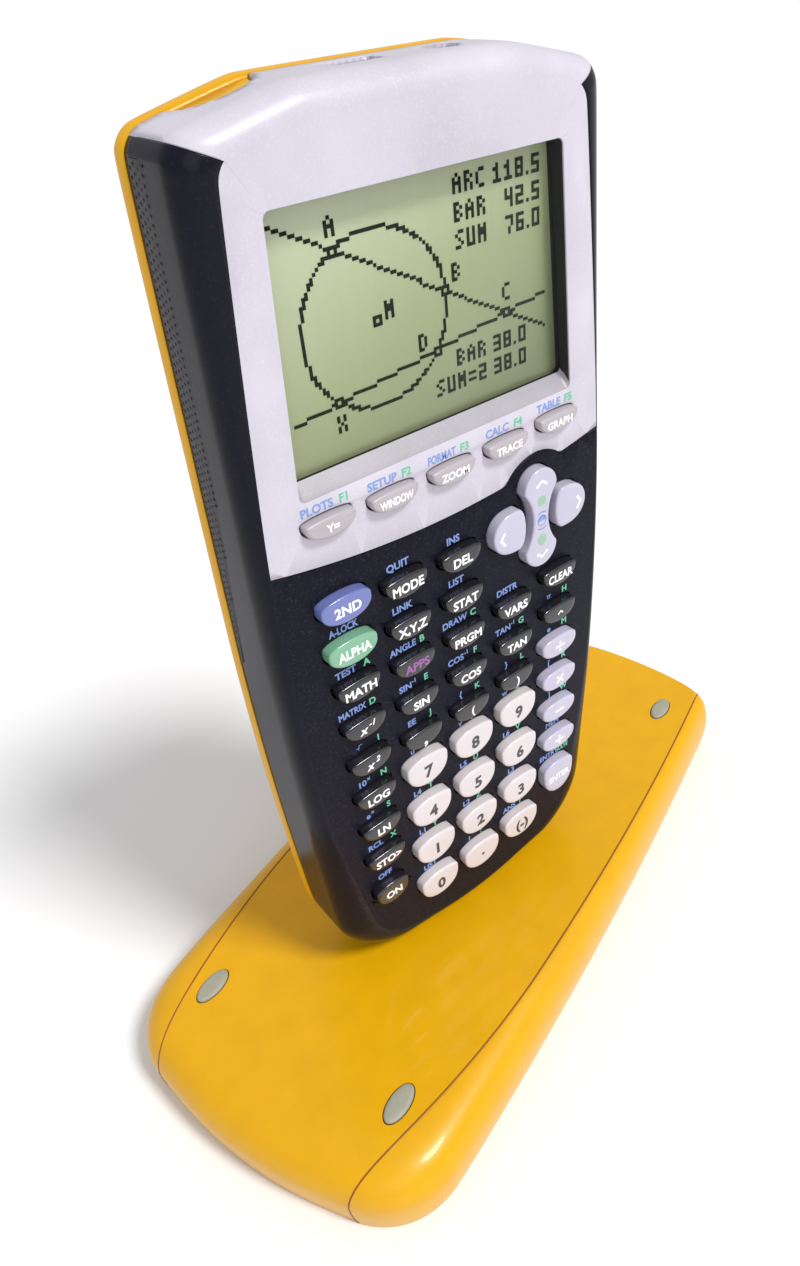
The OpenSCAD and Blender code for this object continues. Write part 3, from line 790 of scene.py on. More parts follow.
def lettering(text, size, **looks):
    """A legend: an operator mark, text, or text with a raised index such as x^2."""
    mark = sign_mark(text, size)
    if mark is not None:
        return mark
    if "^" in text:
        base, index = text.split("^")
        low = typed(base, size, **looks)
        high = typed(index, size * 0.68, **looks)
        low_w = np.ptp(low[0][:, 0])
        high_w = np.ptp(high[0][:, 0])
        a = low[0] + [-(high_w + size * 0.1) / 2, 0]
        b = high[0] + [(low_w + size * 0.1) / 2, size * 0.42]
        return merged_flat([(a, low[1]), (b, high[1])])
    return typed(text, size, **looks)


def squeezed(shape, width):
    """The same lettering, made narrower if it is wider than `width`."""
    points, faces = shape
    wide = np.ptp(points[:, 0])
    if wide > width:
        points = points * [width / wide, 1]
    return points, faces


LEGEND_SIZE = {"soft": 1.55, "black": 2.05, "shift": 2.1, "digit": 3.3, "sign": 3.4, "on": 2.1, "enter": 2.0}
LEGEND_WIDTH = {"soft": 7.4, "black": 7.4, "shift": 7.6, "digit": 8.0, "sign": 8.0, "on": 5.4, "enter": 7.2}


def place_legend(cap, name, place, kind, ink, legend):
    """Prints a legend on a cap, just clear of the highest point of the surface below it."""
    size = LEGEND_SIZE[kind]
    looks = {"bold": 0.055 if kind == "digit" else 0.045}
    if legend in ("x^-1", "x^2"):
        looks["slant"] = 0.3
    if legend == ",":
        size *= 1.6
    shape = squeezed(lettering(legend, size, **looks), LEGEND_WIDTH[kind])
    ring = key_outline(name, place, kind)
    middle = (ring.min(0) + ring.max(0)) / 2
    middle[1] += {"digit": -0.1, "shift": 0.1}.get(kind, 0.0)
    flat = shape[0] + middle
    tree = BVHTree.FromPolygons(
        [v.co for v in cap.data.vertices], [tuple(p.vertices) for p in cap.data.polygons]
    )
    start = face_points(raised(flat, KEY_OUT + 2))
    hits = [tree.ray_cast(Vector(point), Vector((0, 1, 0)))[0] for point in start]
    level = min(hit.y for hit in hits if hit is not None) - 0.008 * MM
    landed = [(point[0], level, point[2]) for point in start]
    make(name.replace("key_", "legend_"), landed, shape[1], name, SLOTS[name], [ink], smooth=False)


def build_keys():
    for name, place, kind, finish, ink, legend, _, _ in KEYS:
        top = KEY_OUT - 0.5 if kind == "soft" else KEY_OUT
        cap = build_cap(name, key_outline(name, place, kind), finish, SLOTS[name], top)
        place_legend(cap, name, place, kind, ink, legend)


# ---------- cursor pad ----------


def flat_piece(name, shape, z, body, slot, material):
    """A flat printed mark at height z above the face."""
    points, faces = shape
    return make(name, face_points(raised(points, z)), faces, body, slot, [material], smooth=False)


def chevron(x, y, turn, size=1.5):
    """An arrow head that points up, turned by `turn`."""
    path = np.array([(-size, -size * 0.36), (0, size * 0.36), (size, -size * 0.36)])
    spin = np.array([[math.cos(turn), math.sin(turn)], [-math.sin(turn), math.cos(turn)]])
    points, faces = stroke(path, 0.62)
    return points @ spin + [x, y], faces


def oval(x, y, a, b, count=40):
    angle = np.linspace(0, 2 * math.pi, count, endpoint=False)
    return np.stack([x + a * np.cos(angle), y + b * np.sin(angle)], 1), [tuple(range(count))]


def build_cursor_pad():
    """The two side keys and the one-piece rocker with its chevrons and contrast marks."""
    top = KEY_OUT + 0.03
    for name, side in (("key_left", -1), ("key_right", 1)):
        place = (PAD_X + side * PAD_KEY_X, PAD_Y)
        outline = key_outline(name, place, "side")
        build_cap(name, outline, lilac, SLOTS[name], KEY_OUT)
        mark = chevron(PAD_X + side * 10.9, PAD_Y - 0.3, -side * math.pi / 2)
        flat_piece(name.replace("key_", "chevron_"), mark, top - 0.04, name, SLOTS[name], print_white)
    name = "key_up_down"
    outline = rocker() + [PAD_X, PAD_Y]
    rings = [raised(outline, -3.2), raised(outline, 0), raised(outline, KEY_OUT - 0.5)]
    rings += [raised(inset(outline, d), KEY_OUT - 0.48 + h) for d, h in KEY_ROUND]
    points, faces = loft(rings)
    rim = len(rings) * len(outline)
    faces.append(tuple(range(rim - len(outline), rim)))
    faces.append(tuple(range(len(outline)))[::-1])
    cap = make("cap_up_down", face_points(points), faces, name, SLOTS[name], [lilac])
    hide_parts(name)
    add_modifier(cap, "WEIGHTED_NORMAL", keep_sharp=True)
    marks = [chevron(PAD_X, PAD_Y + 8.3, 0), chevron(PAD_X, PAD_Y - 8.6, math.pi)]
    flat_piece("chevron_up_down", merged_flat(marks), top, name, SLOTS[name], print_white)
    patches = [oval(PAD_X, PAD_Y + 4.3, 1.2, 1.15), oval(PAD_X, PAD_Y - 4.9, 1.2, 1.3)]
    flat_piece("patch_up_down", merged_flat(patches), top, name, SLOTS[name], pale_green)
    ring = stroke(arc(PAD_X, PAD_Y - 0.3, 1.15, 0, 360, 6), 0.22)
    half = arc(PAD_X, PAD_Y - 0.3, 1.12, 0, 180, 4)
    arcs = [
        stroke(arc(PAD_X, PAD_Y - 0.3, 2.0, 55, 125, 2), 0.3),
        stroke(arc(PAD_X, PAD_Y - 0.3, 2.0, 235, 305, 2), 0.3),
    ]
    mark = merged_flat([ring, (half, [tuple(range(len(half)))])] + arcs)
    flat_piece("contrast_mark", mark, top + 0.005, name, SLOTS[name], print_blue)


# ---------- legends printed on the face ----------


def build_face_print():
    """The blue and green second legends above the keys."""
    blue_parts, green_parts = [], []
    for name, place, kind, _, _, _, blue, green in KEYS:
        ring = key_outline(name, place, kind)
        y = ring[:, 1].max() + LEGEND_LIFT
        size = 1.6 if kind != "soft" else 1.65
        left = place[0] - 0.4
        if kind == "digit":
            y -= 0.1
        if blue:
            shape = squeezed(lettering(blue, size, bold=0.045), 6.6)
            wide = np.ptp(shape[0][:, 0])
            x = left - (1.1 if green else 0.0) - (0.8 if kind == "digit" else 0.0)
            x = min(x, left + 2.4 - wide / 2) if green and len(blue) > 3 else x
            blue_parts.append((shape[0] + [x, y], shape[1]))
        if green:
            shape = squeezed(typed(green, size, bold=0.045), 4.2)
            x = place[0] + (3.4 if kind != "digit" else 1.5)
            if len(green) > 2:
                x = place[0] + 3.2
            if kind == "soft":
                x += 0.5
            green_parts.append((shape[0] + [x, y], shape[1]))
    for color, parts, ink in (("blue", blue_parts, print_blue), ("green", green_parts, print_green)):
        name = "print_" + color + "_legends"
        flat_piece(name, merged_flat(parts), PRINT_LIFT, "calculator", "front_housing", ink)


# ---------- front shells ----------

SKIN = 1.4
FILLET = [(KEY_GAP, 0.0), (0.12, -0.06), (0.03, -0.16), (0.0, -0.32)]


def window_outline(grow, lift=0.0, radius=1.2):
    """The window's rounded outline, a little wider at its lower edge."""
    low, high = WINDOW_W / 2 + 2.4 + grow, WINDOW_W / 2 + grow
    bottom, top = WINDOW_Y - grow + lift, WINDOW_Y + WINDOW_H + grow
    r = radius
    half = [arc(low - r, bottom + r, r, -90, 2, 1), arc(high - r, top - r, r, 2, 90, 1)]
    return closed(np.concatenate(half))


def bezel_curve(grow):
    """The bezel's lower edge from left to right, moved down by grow."""
    xs = np.linspace(-46, 46, 421)
    base = BEZEL_Y + BEZEL_ARC_R - np.sqrt((BEZEL_ARC_R + grow) ** 2 - xs**2)
    bump_x, bump_y, r = PAD_X + 0.5, PAD_Y + 4.2, BUMP_R - grow
    under = np.abs(xs - bump_x) < r
    bump = bump_y + np.sqrt(np.maximum(r**2 - (xs - bump_x) ** 2, 0))
    ys = np.where(under, np.maximum(base, bump), base)
    for _ in range(6):
        ys[1:-1] = (ys[:-2] + 2 * ys[1:-1] + ys[2:]) / 4
    return np.stack([xs, ys], 1)


FACE_RIM = softened(face_outline(0), 12)
SIDE_RIM = softened(side_outline(0), 12)
TOP_COLUMNS = (np.abs(SIDE_RIM[:, 0]) < BODY_W / 2 - 3.6) & (SIDE_RIM[:, 1] > BODY_L / 2)
TOP_SPAN = np.abs(SIDE_RIM[TOP_COLUMNS, 0]).max()


def side_ring(share, z, d=0.0):
    ring = FACE_RIM * (1 - share) + SIDE_RIM * share
    return raised(inset(ring, d) if d else ring, z)


def round_edge():
    """Rings from the face's rim over the rounded edge and down the side wall."""
    rings = []
    for a in np.linspace(0, 90, 13):
        rings.append(side_ring(math.sin(math.radians(a)), -EDGE_D * (1 - math.cos(math.radians(a)))))
    for z in np.linspace(-EDGE_D, -HOUSING_D, 9)[1:]:
        rings.append(side_ring(1.0, z, 0.12 * ((-z - EDGE_D) / (HOUSING_D - EDGE_D)) ** 2))
    return rings


def build_front():
    """The navy housing and the silver bezel: one surface, cut along the bezel's edge."""
    upper, lower = bezel_curve(-BEZEL_GAP), bezel_curve(BEZEL_GAP)
    key_rings = [(key_outline(n, p, k, KEY_GAP), k) for n, p, k, *_ in KEYS]
    for name, side in (("key_left", -1), ("key_right", 1)):
        place = (PAD_X + side * PAD_KEY_X, PAD_Y)
        key_rings.append((key_outline(name, place, "side", KEY_GAP), "side"))
    key_rings.append((rocker(KEY_GAP) + [PAD_X, PAD_Y], "rocker"))
    holes = [(inset(ring, -FILLET[0][0]), ring, kind == "soft") for ring, kind in key_rings]
    window = window_outline(0.25, -2.2)
    band = np.concatenate([upper, lower[::-1]])
    outlines = [FACE_RIM, window, band] + [h[0] for h in holes]
    flat, triangles, middles = flat_triangles(outlines)
    keep = inside(middles, FACE_RIM) & ~inside(middles, window) & ~inside(middles, band)
    for hole, _, _ in holes:
        keep &= ~inside(middles, hole)
    upper_at = np.interp(middles[:, 0], upper[:, 0], upper[:, 1])
    silver = middles[:, 1] > upper_at
    plate_points = raised(flat, 0)
    silver_parts = [(plate_points, [tuple(t) for t in triangles[keep & silver]])]
    navy_parts = [(plate_points, [tuple(t) for t in triangles[keep & ~silver]])]
    for outer, ring, on_silver in holes:
        rings = [raised(inset(ring, -d), z) for d, z in FILLET]
        rings[0] = raised(outer, 0)
        rings.append(raised(ring, -2.4))
        points, faces = loft(rings)
        (silver_parts if on_silver else navy_parts).append((points, faces))
    rings = round_edge()
    points, faces = loft(rings)
    columns = np.arange(len(faces)) % len(FACE_RIM)
    on_top = TOP_COLUMNS[columns] & TOP_COLUMNS[(columns + 1) % len(FACE_RIM)]
    edge_rings = 12 * len(FACE_RIM)
    rounding = [f[::-1] for i, f in enumerate(faces) if on_top[i] and i < edge_rings]
    silver_parts.append((points, rounding))
    silver_parts.append(top_wall())
    navy_loft = [f[::-1] for i, f in enumerate(faces) if not on_top[i]]
    for name, node, parts, materials in (
        ("bezel_shell", "screen_bezel", silver_parts, [silver_satin]),
        ("housing_shell", "front_housing", navy_parts + [(points, navy_loft)], [navy_satin, navy_gloss]),
    ):
        all_points, all_faces = merged(parts)
        marks = np.zeros(len(all_faces), int)
        if node == "front_housing":
            marks[len(all_faces) - len(navy_loft):] = 1
        shell = make(name, face_points(all_points), all_faces, "calculator", node, materials, marks=marks)
        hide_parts(node)
        welded(shell)
        add_modifier(shell, "SOLIDIFY", thickness=SKIN * MM, offset=-1.0, use_even_offset=False)
        add_modifier(shell, "WEIGHTED_NORMAL", keep_sharp=True)
    build_window_frame(window)
    build_liner()


def outline_y(x, ring):
    """Height of an outline's top end at each x."""
    top = ring[ring[:, 1] > BODY_L / 2]
    order = np.argsort(top[:, 0])
    return np.interp(x, top[order, 0], top[order, 1])


def top_wall():
    """The bezel's top-end wall, with the two back notches and the two socket openings."""
    xs = np.sort(SIDE_RIM[TOP_COLUMNS, 0])
    edge = [(x, -EDGE_D) for x in xs] + [(x, -HOUSING_D) for x in xs[::-1]]
    bites = [oval(side * NOTCH_X, -HOUSING_D, NOTCH_R, NOTCH_R, 60)[0] for side in (-1, 1)]
    bites.append(oval(JACK_X, SOCKET_Z, JACK_R, JACK_R)[0])
    bites.append(even(np.array([(x, SOCKET_Z + z) for x, z in PORT]), 40))
    grid = [(x, z) for x in np.linspace(-TOP_SPAN + 1, TOP_SPAN - 1, 60) for z in (-7, -9, -11, -13)]
    flat, triangles, middles = flat_triangles([np.array(edge)] + bites, grid)
    keep = inside(middles, np.array(edge))
    for bite in bites:
        keep &= ~inside(middles, bite)
    x, z = flat.T
    fade = np.clip((-z - EDGE_D) / (HOUSING_D - EDGE_D), 0, 1) ** 2 * 0.12
    y = outline_y(x, SIDE_RIM) - fade
    faces = [tuple(t) for t in triangles[keep]]
    points = np.stack([x, y, z], 1)
    a, b, c = (points[faces[0][k]] for k in range(3))
    if np.cross(b - a, c - a)[1] < 0:
        faces = [f[::-1] for f in faces]
    return points, faces


def build_window_frame(window):
    """Black walls round the window and the silver sill that slopes down to the pane."""
    pane = window_outline(-0.05)
    sink = -2.6
    inner = np.stack([pane[:, 0], np.maximum(pane[:, 1], WINDOW_Y + 0.25)], 1)
    rings = [raised(window, 0), raised(inset(window, 0.12), -0.2)]
    for t in (0.3, 0.65, 1.0):
        mid = inset(window, 0.12) * (1 - t) + inner * t
        rings.append(raised(mid, -0.2 + (sink + 0.2) * t))
    points, faces = loft(rings)
    centres = np.array([points[list(f)].mean(0) for f in faces])
    sill = (centres[:, 1] < WINDOW_Y + 0.6) | (centres[:, 2] > -0.15)
    make("window_frame", face_points(points), faces, "calculator", "screen_bezel",
         [black_matte, sill_silver], marks=sill.astype(int))


def build_liner():
    """A dark strip that closes the gap behind the bezel's lower edge."""
    band = np.concatenate([bezel_curve(-0.7), bezel_curve(0.7)[::-1]])
    limit = inset(FACE_RIM, 0.9)
    flat, triangles, middles = flat_triangles([band, limit])
    keep = inside(middles, band) & inside(middles, limit)
    strip = [tuple(t) for t in triangles[keep]]
    on_housing("gap_liner", face_points(raised(flat, -0.5)), strip, [black_matte])


# ---------- details on the face ----------

def build_groove_shade_and_lip():
    """Thin dark lines of painted groove shade that link the digit wells, and the lip below the power key."""
    parts = []
    for line in range(4):
        for col in (1, 2):
            a, b = np.array(digit_at(col, line)), np.array(digit_at(col + 1, line))
            start, end = a + [5.4, 0.2], b + [-5.6, 2.6]
            t = np.linspace(0, 1, 16)[:, None]
            path = start * (1 - t) + end * t
            path[:, 1] -= 0.55 * np.sin(math.pi * t[:, 0])
            parts.append(stroke(path, 0.16))
    # Flat dark strips just above the face: painted shade where the grooves are.
    flat_piece("engraved_lines", merged_flat(parts), 0.012, "calculator", "front_housing", digit_groove_shade)
    rings = []
    for a in np.radians(np.linspace(0, 180, 9)):
        path = arc(LIP_X, LIP_Y, LIP_R - LIP_W / 2 * math.cos(a), 205, 335, 5)
        rings.append(raised(path, LIP_H * math.sin(a) + 0.004))
    count = len(rings[0])
    points = np.concatenate(rings)
    faces = []
    for r in range(len(rings) - 1):
        for i in range(count - 1):
            a = r * count + i
            faces.append((a, a + 1, a + count + 1, a + count))
    on_housing("power_key_lip", face_points(points), [f[::-1] for f in faces], [navy_gloss])


# ---------- display ----------

PIXEL_ROWS = 64
PIXEL_COLS = 92
PIXEL_X = -27.8
PIXEL_Y = KEY_BASE_Y + 48.5
PIXEL_W = 0.63
PIXEL_H = 0.617
GLYPHS = {
    "0": "111101101101111", "1": "010110010010111", "2": "111001111100111", "3": "111001111001111",
    "4": "101101111001001", "5": "111100111001111", "6": "111100111101111", "7": "111001001010010",
    "8": "111101111101111", "9": "111101111001111", "=": "000111000111000", ".": "000000000000100",
    "X": "101101010101101", "Y": "101101010010010", "A": "010101111101101", "B": "110101110101110",
    "C": "011100100100011", "R": "110101110101101", "M": "101111111101101", " ": "000000000000000",
    "D": "110101101101110", "P": "110101110100100", "S": "011100010001110", "U": "101101101101111",
}
GLYPH_STEP = {" ": 2, ".": 2}
CIRCLE = (29, 31, 23.2)
LINES = [(0, 61, 89, 13), (0, 11, 89, 23)]
MARKED_POINTS = [  # column, row, letter, and how far the letter stands across and up from the point
    (18, 51, "A", -1, 4), (52, 33, "B", 3, 2), (74, 21, "C", -1, 4),
    (48, 17, "D", -6, 2), (14, 13, "X", -1, -8), (29, 31, "M", 3, 0),
]
READ_OUTS = [
    ("ARC 118.5", 57, 57), ("BAR   42.5", 57, 50), ("SUM   76.0", 57, 43),
    ("BAR 38.0", 55, 11), ("SUM=2 38.0", 47, 4),
]


def dot_line(x0, y0, x1, y1):
    """Dots of a straight line."""
    steps = int(max(abs(x1 - x0), abs(y1 - y0))) + 1
    return {(round(x0 + (x1 - x0) * k / steps), round(y0 + (y1 - y0) * k / steps)) for k in range(steps + 1)}


def dot_ring(x, y, radius):
    """Dots of a circle."""
    turns = np.radians(np.arange(0, 360, 1.2))
    return {(round(x + radius * math.cos(a)), round(y + radius * math.sin(a))) for a in turns}


def dot_text(text, col, row):
    """Dots of a read-out 5 dots high whose lower left dot is at (col, row)."""
    dots = set()
    for letter in text:
        for k, bit in enumerate(GLYPHS[letter]):
            if bit == "1":
                dots.add((col + k % 3, row + 4 - k // 3))
        col += GLYPH_STEP.get(letter, 4)
    return dots


def display_dots():
    """A circle cut by two straight lines, with marked points and read-outs."""
    dots = dot_ring(*CIRCLE)
    for line in LINES:
        dots |= dot_line(*line)
    for x, y, letter, across, up in MARKED_POINTS:
        dots -= {(x, y)}
        dots |= {(x + i, y + j) for i in (-1, 0, 1) for j in (-1, 0, 1) if i or j}
        dots |= dot_text(letter, x + across, y + up)
    for text, col, row in READ_OUTS:
        dots |= dot_text(text, col, row)
    return [d for d in sorted(dots) if 0 <= d[0] < PIXEL_COLS and 0 <= d[1] < PIXEL_ROWS]


def build_display():
    """Olive display face under the clear pane, with its lit dots."""
    module_top = (FACE_ORIGIN.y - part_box("display_module")[0].y) / MM
    pane_back = (FACE_ORIGIN.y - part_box("display_window")[1].y) / MM
    level = (module_top + pane_back) / 2
    glass = window_outline(0.1)
    sheet = [tuple(range(len(glass)))]
    make("display_face", face_points(raised(glass, module_top + 0.01)), sheet, "calculator",
         "display_module", [lcd_material()], smooth=False)
    points, faces = [], []
    for col, row in display_dots():
        x, y = PIXEL_X + col * PIXEL_W, PIXEL_Y + row * PIXEL_H
        half_w, half_h = PIXEL_W / 2, PIXEL_H / 2
        start = len(points)
        points += [(x - half_w, y - half_h), (x + half_w, y - half_h)]
        points += [(x + half_w, y + half_h), (x - half_w, y + half_h)]
        faces.append((start, start + 1, start + 2, start + 3))
    make("display_dots", face_points(raised(np.array(points), level)), faces, "calculator",
         "display_module", [lcd_ink], smooth=False)
    dress("display_window", [clear_material()])
    dress("display_module", [black_matte])


def dress(node, materials):
    """Gives a CAD object its materials."""
    piece = bpy.data.objects[node]
    piece.data.materials.clear()
    for material in materials:
        piece.data.materials.append(material)
    return piece


# ---------- rear cover ----------

REAR_EDGE = [(0, -2.9), (0.05, -3.1), (0.5, -3.45), (1.4, -3.95), (2.4, -4.5), (3.2, -4.95), (3.7, -5.3),
             (4.0, -5.5)]
DOOR_W = 58.0
DOOR_H = 50.0
DOOR_Y = 146.0
TRAY_DEPTH = 12.4
REAR_WALL = 1.7
HEAD_R = 2.6
HEAD_DEEP = 1.8
SCREWS = [(-31, 16), (31, 16), (-34.4, 117.5), (34.4, 117.5), (-32, 180.5), (32, 180.5)]
NOTCH_L = 9.0
NOTCH_END = 0.93


def rectangle(width, height, y, step=2.0):
    """An evenly divided rectangle about the middle line."""
    ring = np.array([(-width / 2, y - height / 2), (width / 2, y - height / 2),
                     (width / 2, y + height / 2), (-width / 2, y + height / 2)])
    return even(ring, int(2 * (width + height) / step))


def on_cover(name, points, faces, **looks):
    """A yellow piece of the calculator's rear cover, from points in the face frame."""
    return make(name, face_points(points), faces, "calculator", "rear_cover", [yellow_gloss], **looks)


def build_rear():
    """The yellow rear cover: a pan with a battery opening, tray, screw wells and two notch blocks."""
    rings = [side_ring(1.0, -HOUSING_D - 0.1)]
    rings += [raised(softened(side_outline(d), 12), -HOUSING_D + z) for d, z in REAR_EDGE]
    rim_points, rim_faces = loft(rings)
    back = rings[-1][:, :2]
    door = rectangle(DOOR_W, DOOR_H, DOOR_Y)
    wells = [oval(x, y, HEAD_R, HEAD_R, 32)[0] for x, y in SCREWS]
    flat, triangles, middles = flat_triangles([back, door] + wells)
    keep = inside(middles, back) & ~inside(middles, door)
    for well in wells:
        keep &= ~inside(middles, well)
    parts = [(rim_points, [f[::-1] for f in rim_faces])]
    parts.append((raised(flat, -BODY_D), [tuple(t)[::-1] for t in triangles[keep]]))
    for well in wells:
        middle = well.mean(0)
        hole = middle + (well - middle) * 0.56
        steps = [raised(well, -BODY_D), raised(well, -BODY_D + HEAD_DEEP), raised(hole, -BODY_D + HEAD_DEEP)]
        points, faces = loft(steps)
        parts.append((points, [f[::-1] for f in faces]))
    shell_points, shell_faces = merged(parts)
    shell = on_cover("rear_shell", shell_points, shell_faces)
    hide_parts("rear_cover")
    welded(shell)
    add_modifier(shell, "SOLIDIFY", thickness=REAR_WALL * MM, offset=-1.0, use_even_offset=False)
    add_modifier(shell, "WEIGHTED_NORMAL", keep_sharp=True)
    build_tray()
    build_notch_blocks()


def build_tray():
    """The battery tray behind the door: a rim, four walls and a floor."""
    front = -BODY_D + TRAY_DEPTH
    seat = -BODY_D + REAR_WALL
    wide = rectangle(DOOR_W + 4, DOOR_H + 4, DOOR_Y)
    well = rectangle(DOOR_W - 6, DOOR_H - 4, DOOR_Y)
    well = even(well, len(wide))
    outer = even(rectangle(DOOR_W - 4, DOOR_H - 2, DOOR_Y), len(wide))
    rings = [raised(wide, seat + 0.9), raised(wide, seat), raised(well, seat), raised(well, front)]
    inner_points, inner_faces = loft(rings, cap_last=True)
    back_rings = [raised(outer, front + 1), raised(outer, seat + 0.9), raised(wide, seat + 0.9)]
    back_points, back_faces = loft(back_rings, cap_first=True)
    points, faces = merged([(inner_points, inner_faces), (back_points, back_faces)])
    welded(on_cover("battery_tray", points, faces, smooth=False))


def build_notch_blocks():
    """Half-round blocks of the rear cover that show yellow in the bezel's two scooped notches."""
    parts = []
    for side in (-1, 1):
        angles = np.radians(np.linspace(0, 180, 37))
        x = side * NOTCH_X + (NOTCH_R - 0.35) * np.cos(angles)
        z = -HOUSING_D - 0.1 + (NOTCH_R - 0.35) * np.sin(angles)
        outer_y = outline_y(x, SIDE_RIM) - 0.9
        rings = []
        for t in (0.0, 1.0):
            y = (BODY_L - NOTCH_L) * (1 - t) + outer_y * t
            rings.append(np.stack([x, y, z], 1))
        middle = side * NOTCH_X
        end_x, end_z = middle + (x - middle) * NOTCH_END, -HOUSING_D + (z + HOUSING_D) * NOTCH_END
        rings.append(np.stack([end_x, outer_y + 0.25, end_z], 1))
        points, faces = loft(rings, cap_first=True, cap_last=True)
        parts.append((points, faces))
    points, faces = merged(parts)
    on_cover("notch_blocks", points, faces)


# ---------- side grips ----------


GRIP_LOW = 95.5
GRIP_HIGH = 183.0
GRIP_BACK = -14.4
GRIP_W = 5.6
STUD_STEP = 1.25
STUD_ROW = 1.2


def grip_top(y):
    """How far towards the face the strip reaches: it narrows to a point at its lower end."""
    return GRIP_BACK + GRIP_W * min(1.0, (y - 92) / 45) * min(1.0, (187 - y) / 6)


def stud(x, y, z, side):
    """One small stud that stands out of the strip."""
    points = []
    for radius, lift in ((0.3, 0.1), (0.2, 0.18)):
        for a in np.radians(np.arange(0, 360, 60)):
            points.append((x + side * lift, y + radius * math.cos(a), z + radius * math.sin(a)))
    faces = [(q, (q + 1) % 6, 6 + (q + 1) % 6, 6 + q) for q in range(6)] + [(6, 7, 8, 9, 10, 11)]
    return points, faces if side > 0 else [f[::-1] for f in faces]


def build_grips():
    """Grip strips with rows of studs on the housing's two long sides, next to the back cover."""
    for side, name in ((-1, "grip_left"), (1, "grip_right")):
        ring = SIDE_RIM[(SIDE_RIM[:, 1] > 95) & (SIDE_RIM[:, 1] < 184) & (SIDE_RIM[:, 0] * side > 0)]
        ring = ring[np.argsort(ring[:, 1])]
        ys = np.linspace(GRIP_LOW, GRIP_HIGH, 120)
        xs = np.interp(ys, ring[:, 1], ring[:, 0])
        points, faces = [], []
        for x, y in zip(xs, ys):
            for k, z in enumerate(np.linspace(GRIP_BACK, grip_top(y), 5)):
                out = (0.10 if 0 < k < 4 else -0.05) * side
                points.append((x + out, y, z))
        for i in range(len(ys) - 1):
            for a in range(i * 5, i * 5 + 4):
                face = (a, a + 1, a + 6, a + 5)
                faces.append(face if side < 0 else face[::-1])
        on_housing(name, face_points(points), faces, [grip_grey])
        studs = []
        for y in np.arange(98, GRIP_HIGH - 0.5, STUD_STEP):
            x = np.interp(y, ys, xs)
            for k, z in enumerate(np.arange(GRIP_BACK + 0.6, grip_top(y) - 0.5, STUD_ROW)):
                studs.append(stud(x, y + (0.6 if k % 2 else 0), z, side))
        points, faces = merged(studs)
        # The studs give the grip its texture; their black is painted shade for the shadows in its dimples.
        on_housing(name + "_dots", face_points(points), faces, [black_matte])


# ---------- slide case ----------

SEAM_W = 0.5
SEAM_D = 0.09
SEAM_BLEND = (-35.1, -26.4)
CASE_WALL = 2.0
RIM_INSET = 1.0
FOOT_W = 4.8
FOOT_L = 9.8
FOOT_PLACES = [(-28.3, -71.4), (28.3, -71.4), (-28.8, 74.6), (28.8, 74.6)]
SWELL = [(0.0, 0.0), (0.12, 0.05), (0.3, 0.4), (0.46, 0.85), (0.6, 1.5), (0.73, 2.4), (0.85, 3.8)]
SWELL += [(0.94, 5.6), (0.985, 7.2), (1.0, 8.6)]
SWELL_DROP = SWELL[-1][1]


def case_rings(d):
    """Rings of the case's form from its flat plane down to its rim, inset by d."""
    flat = plane_outline(d)
    wide = case_outline(d, CASE_SIDE_STEPS)
    rings = []
    for share, drop in SWELL:
        rings.append(raised(softened(flat * (1 - share) + wide * share, 6), CASE_H - d - drop))
    for t in (0.3, 0.6, 0.85, 1.0):
        low = softened(case_outline(d + RIM_INSET * t**2, CASE_SIDE_STEPS), 6)
        rings.append(raised(low, (CASE_H - SWELL_DROP) * (1 - t)))
    return rings


def carved(piece, parts, materials):
    """Cuts closed shapes out of a piece; the cut walls take the piece's second material."""
    points, faces = merged(parts)
    mesh = bpy.data.meshes.new("cutter")
    mesh.from_pydata([tuple(p) for p in points], [], faces)
    for material in materials:
        mesh.materials.append(material)
    mesh.polygons.foreach_set("material_index", [1] * len(faces))
    mesh.update()
    cutter = bpy.data.objects.new("cutter", mesh)
    bpy.context.scene.collection.objects.link(cutter)
    cut = add_modifier(piece, "BOOLEAN", object=cutter, operation="DIFFERENCE", solver="EXACT")
    bpy.context.view_layer.update()
    result = bpy.data.meshes.new_from_object(piece.evaluated_get(bpy.context.evaluated_depsgraph_get()))
    piece.modifiers.remove(cut)
    old, piece.data = piece.data, result
    bpy.data.meshes.remove(old)
    bpy.data.objects.remove(cutter)
    bpy.data.meshes.remove(mesh)
    return piece


def tube(path, radius):
    """A closed round line along a path that never runs across the case."""
    path = np.asarray(path, float)
    along = np.gradient(path, axis=0)
    along /= np.linalg.norm(along, axis=1, keepdims=True)
    side = np.cross(along, [1.0, 0, 0])
    side /= np.linalg.norm(side, axis=1, keepdims=True)
    across = np.cross(side, along)
    turns = np.radians(np.arange(0, 360, 45))
    rings = [path + radius * (math.cos(a) * side + math.sin(a) * across) for a in turns]
    count, around = len(path), len(rings)
    faces = []
    for r in range(around):
        s = (r + 1) % around
        for i in range(count - 1):
            faces.append((r * count + i, r * count + i + 1, s * count + i + 1, s * count + i))
    faces.append(tuple(r * count for r in range(around)))
    faces.append(tuple(r * count + count - 1 for r in range(around))[::-1])
    return np.concatenate(rings), faces


def seam_x(v):
    """Distance of the seam from the case's middle line, at each v."""
    (near_in, near_v, near_r), (far_in, far_v, far_r) = PLANE_ARCS
    near = CASE_W / 2 - near_in + np.sqrt(near_r**2 - (v - near_v) ** 2)
    far = CASE_W / 2 - far_in + np.sqrt(far_r**2 - (v - far_v) ** 2)
    blend = np.clip((v - SEAM_BLEND[0]) / (SEAM_BLEND[1] - SEAM_BLEND[0]), 0, 1)
    return near * (1 - blend) + far * blend


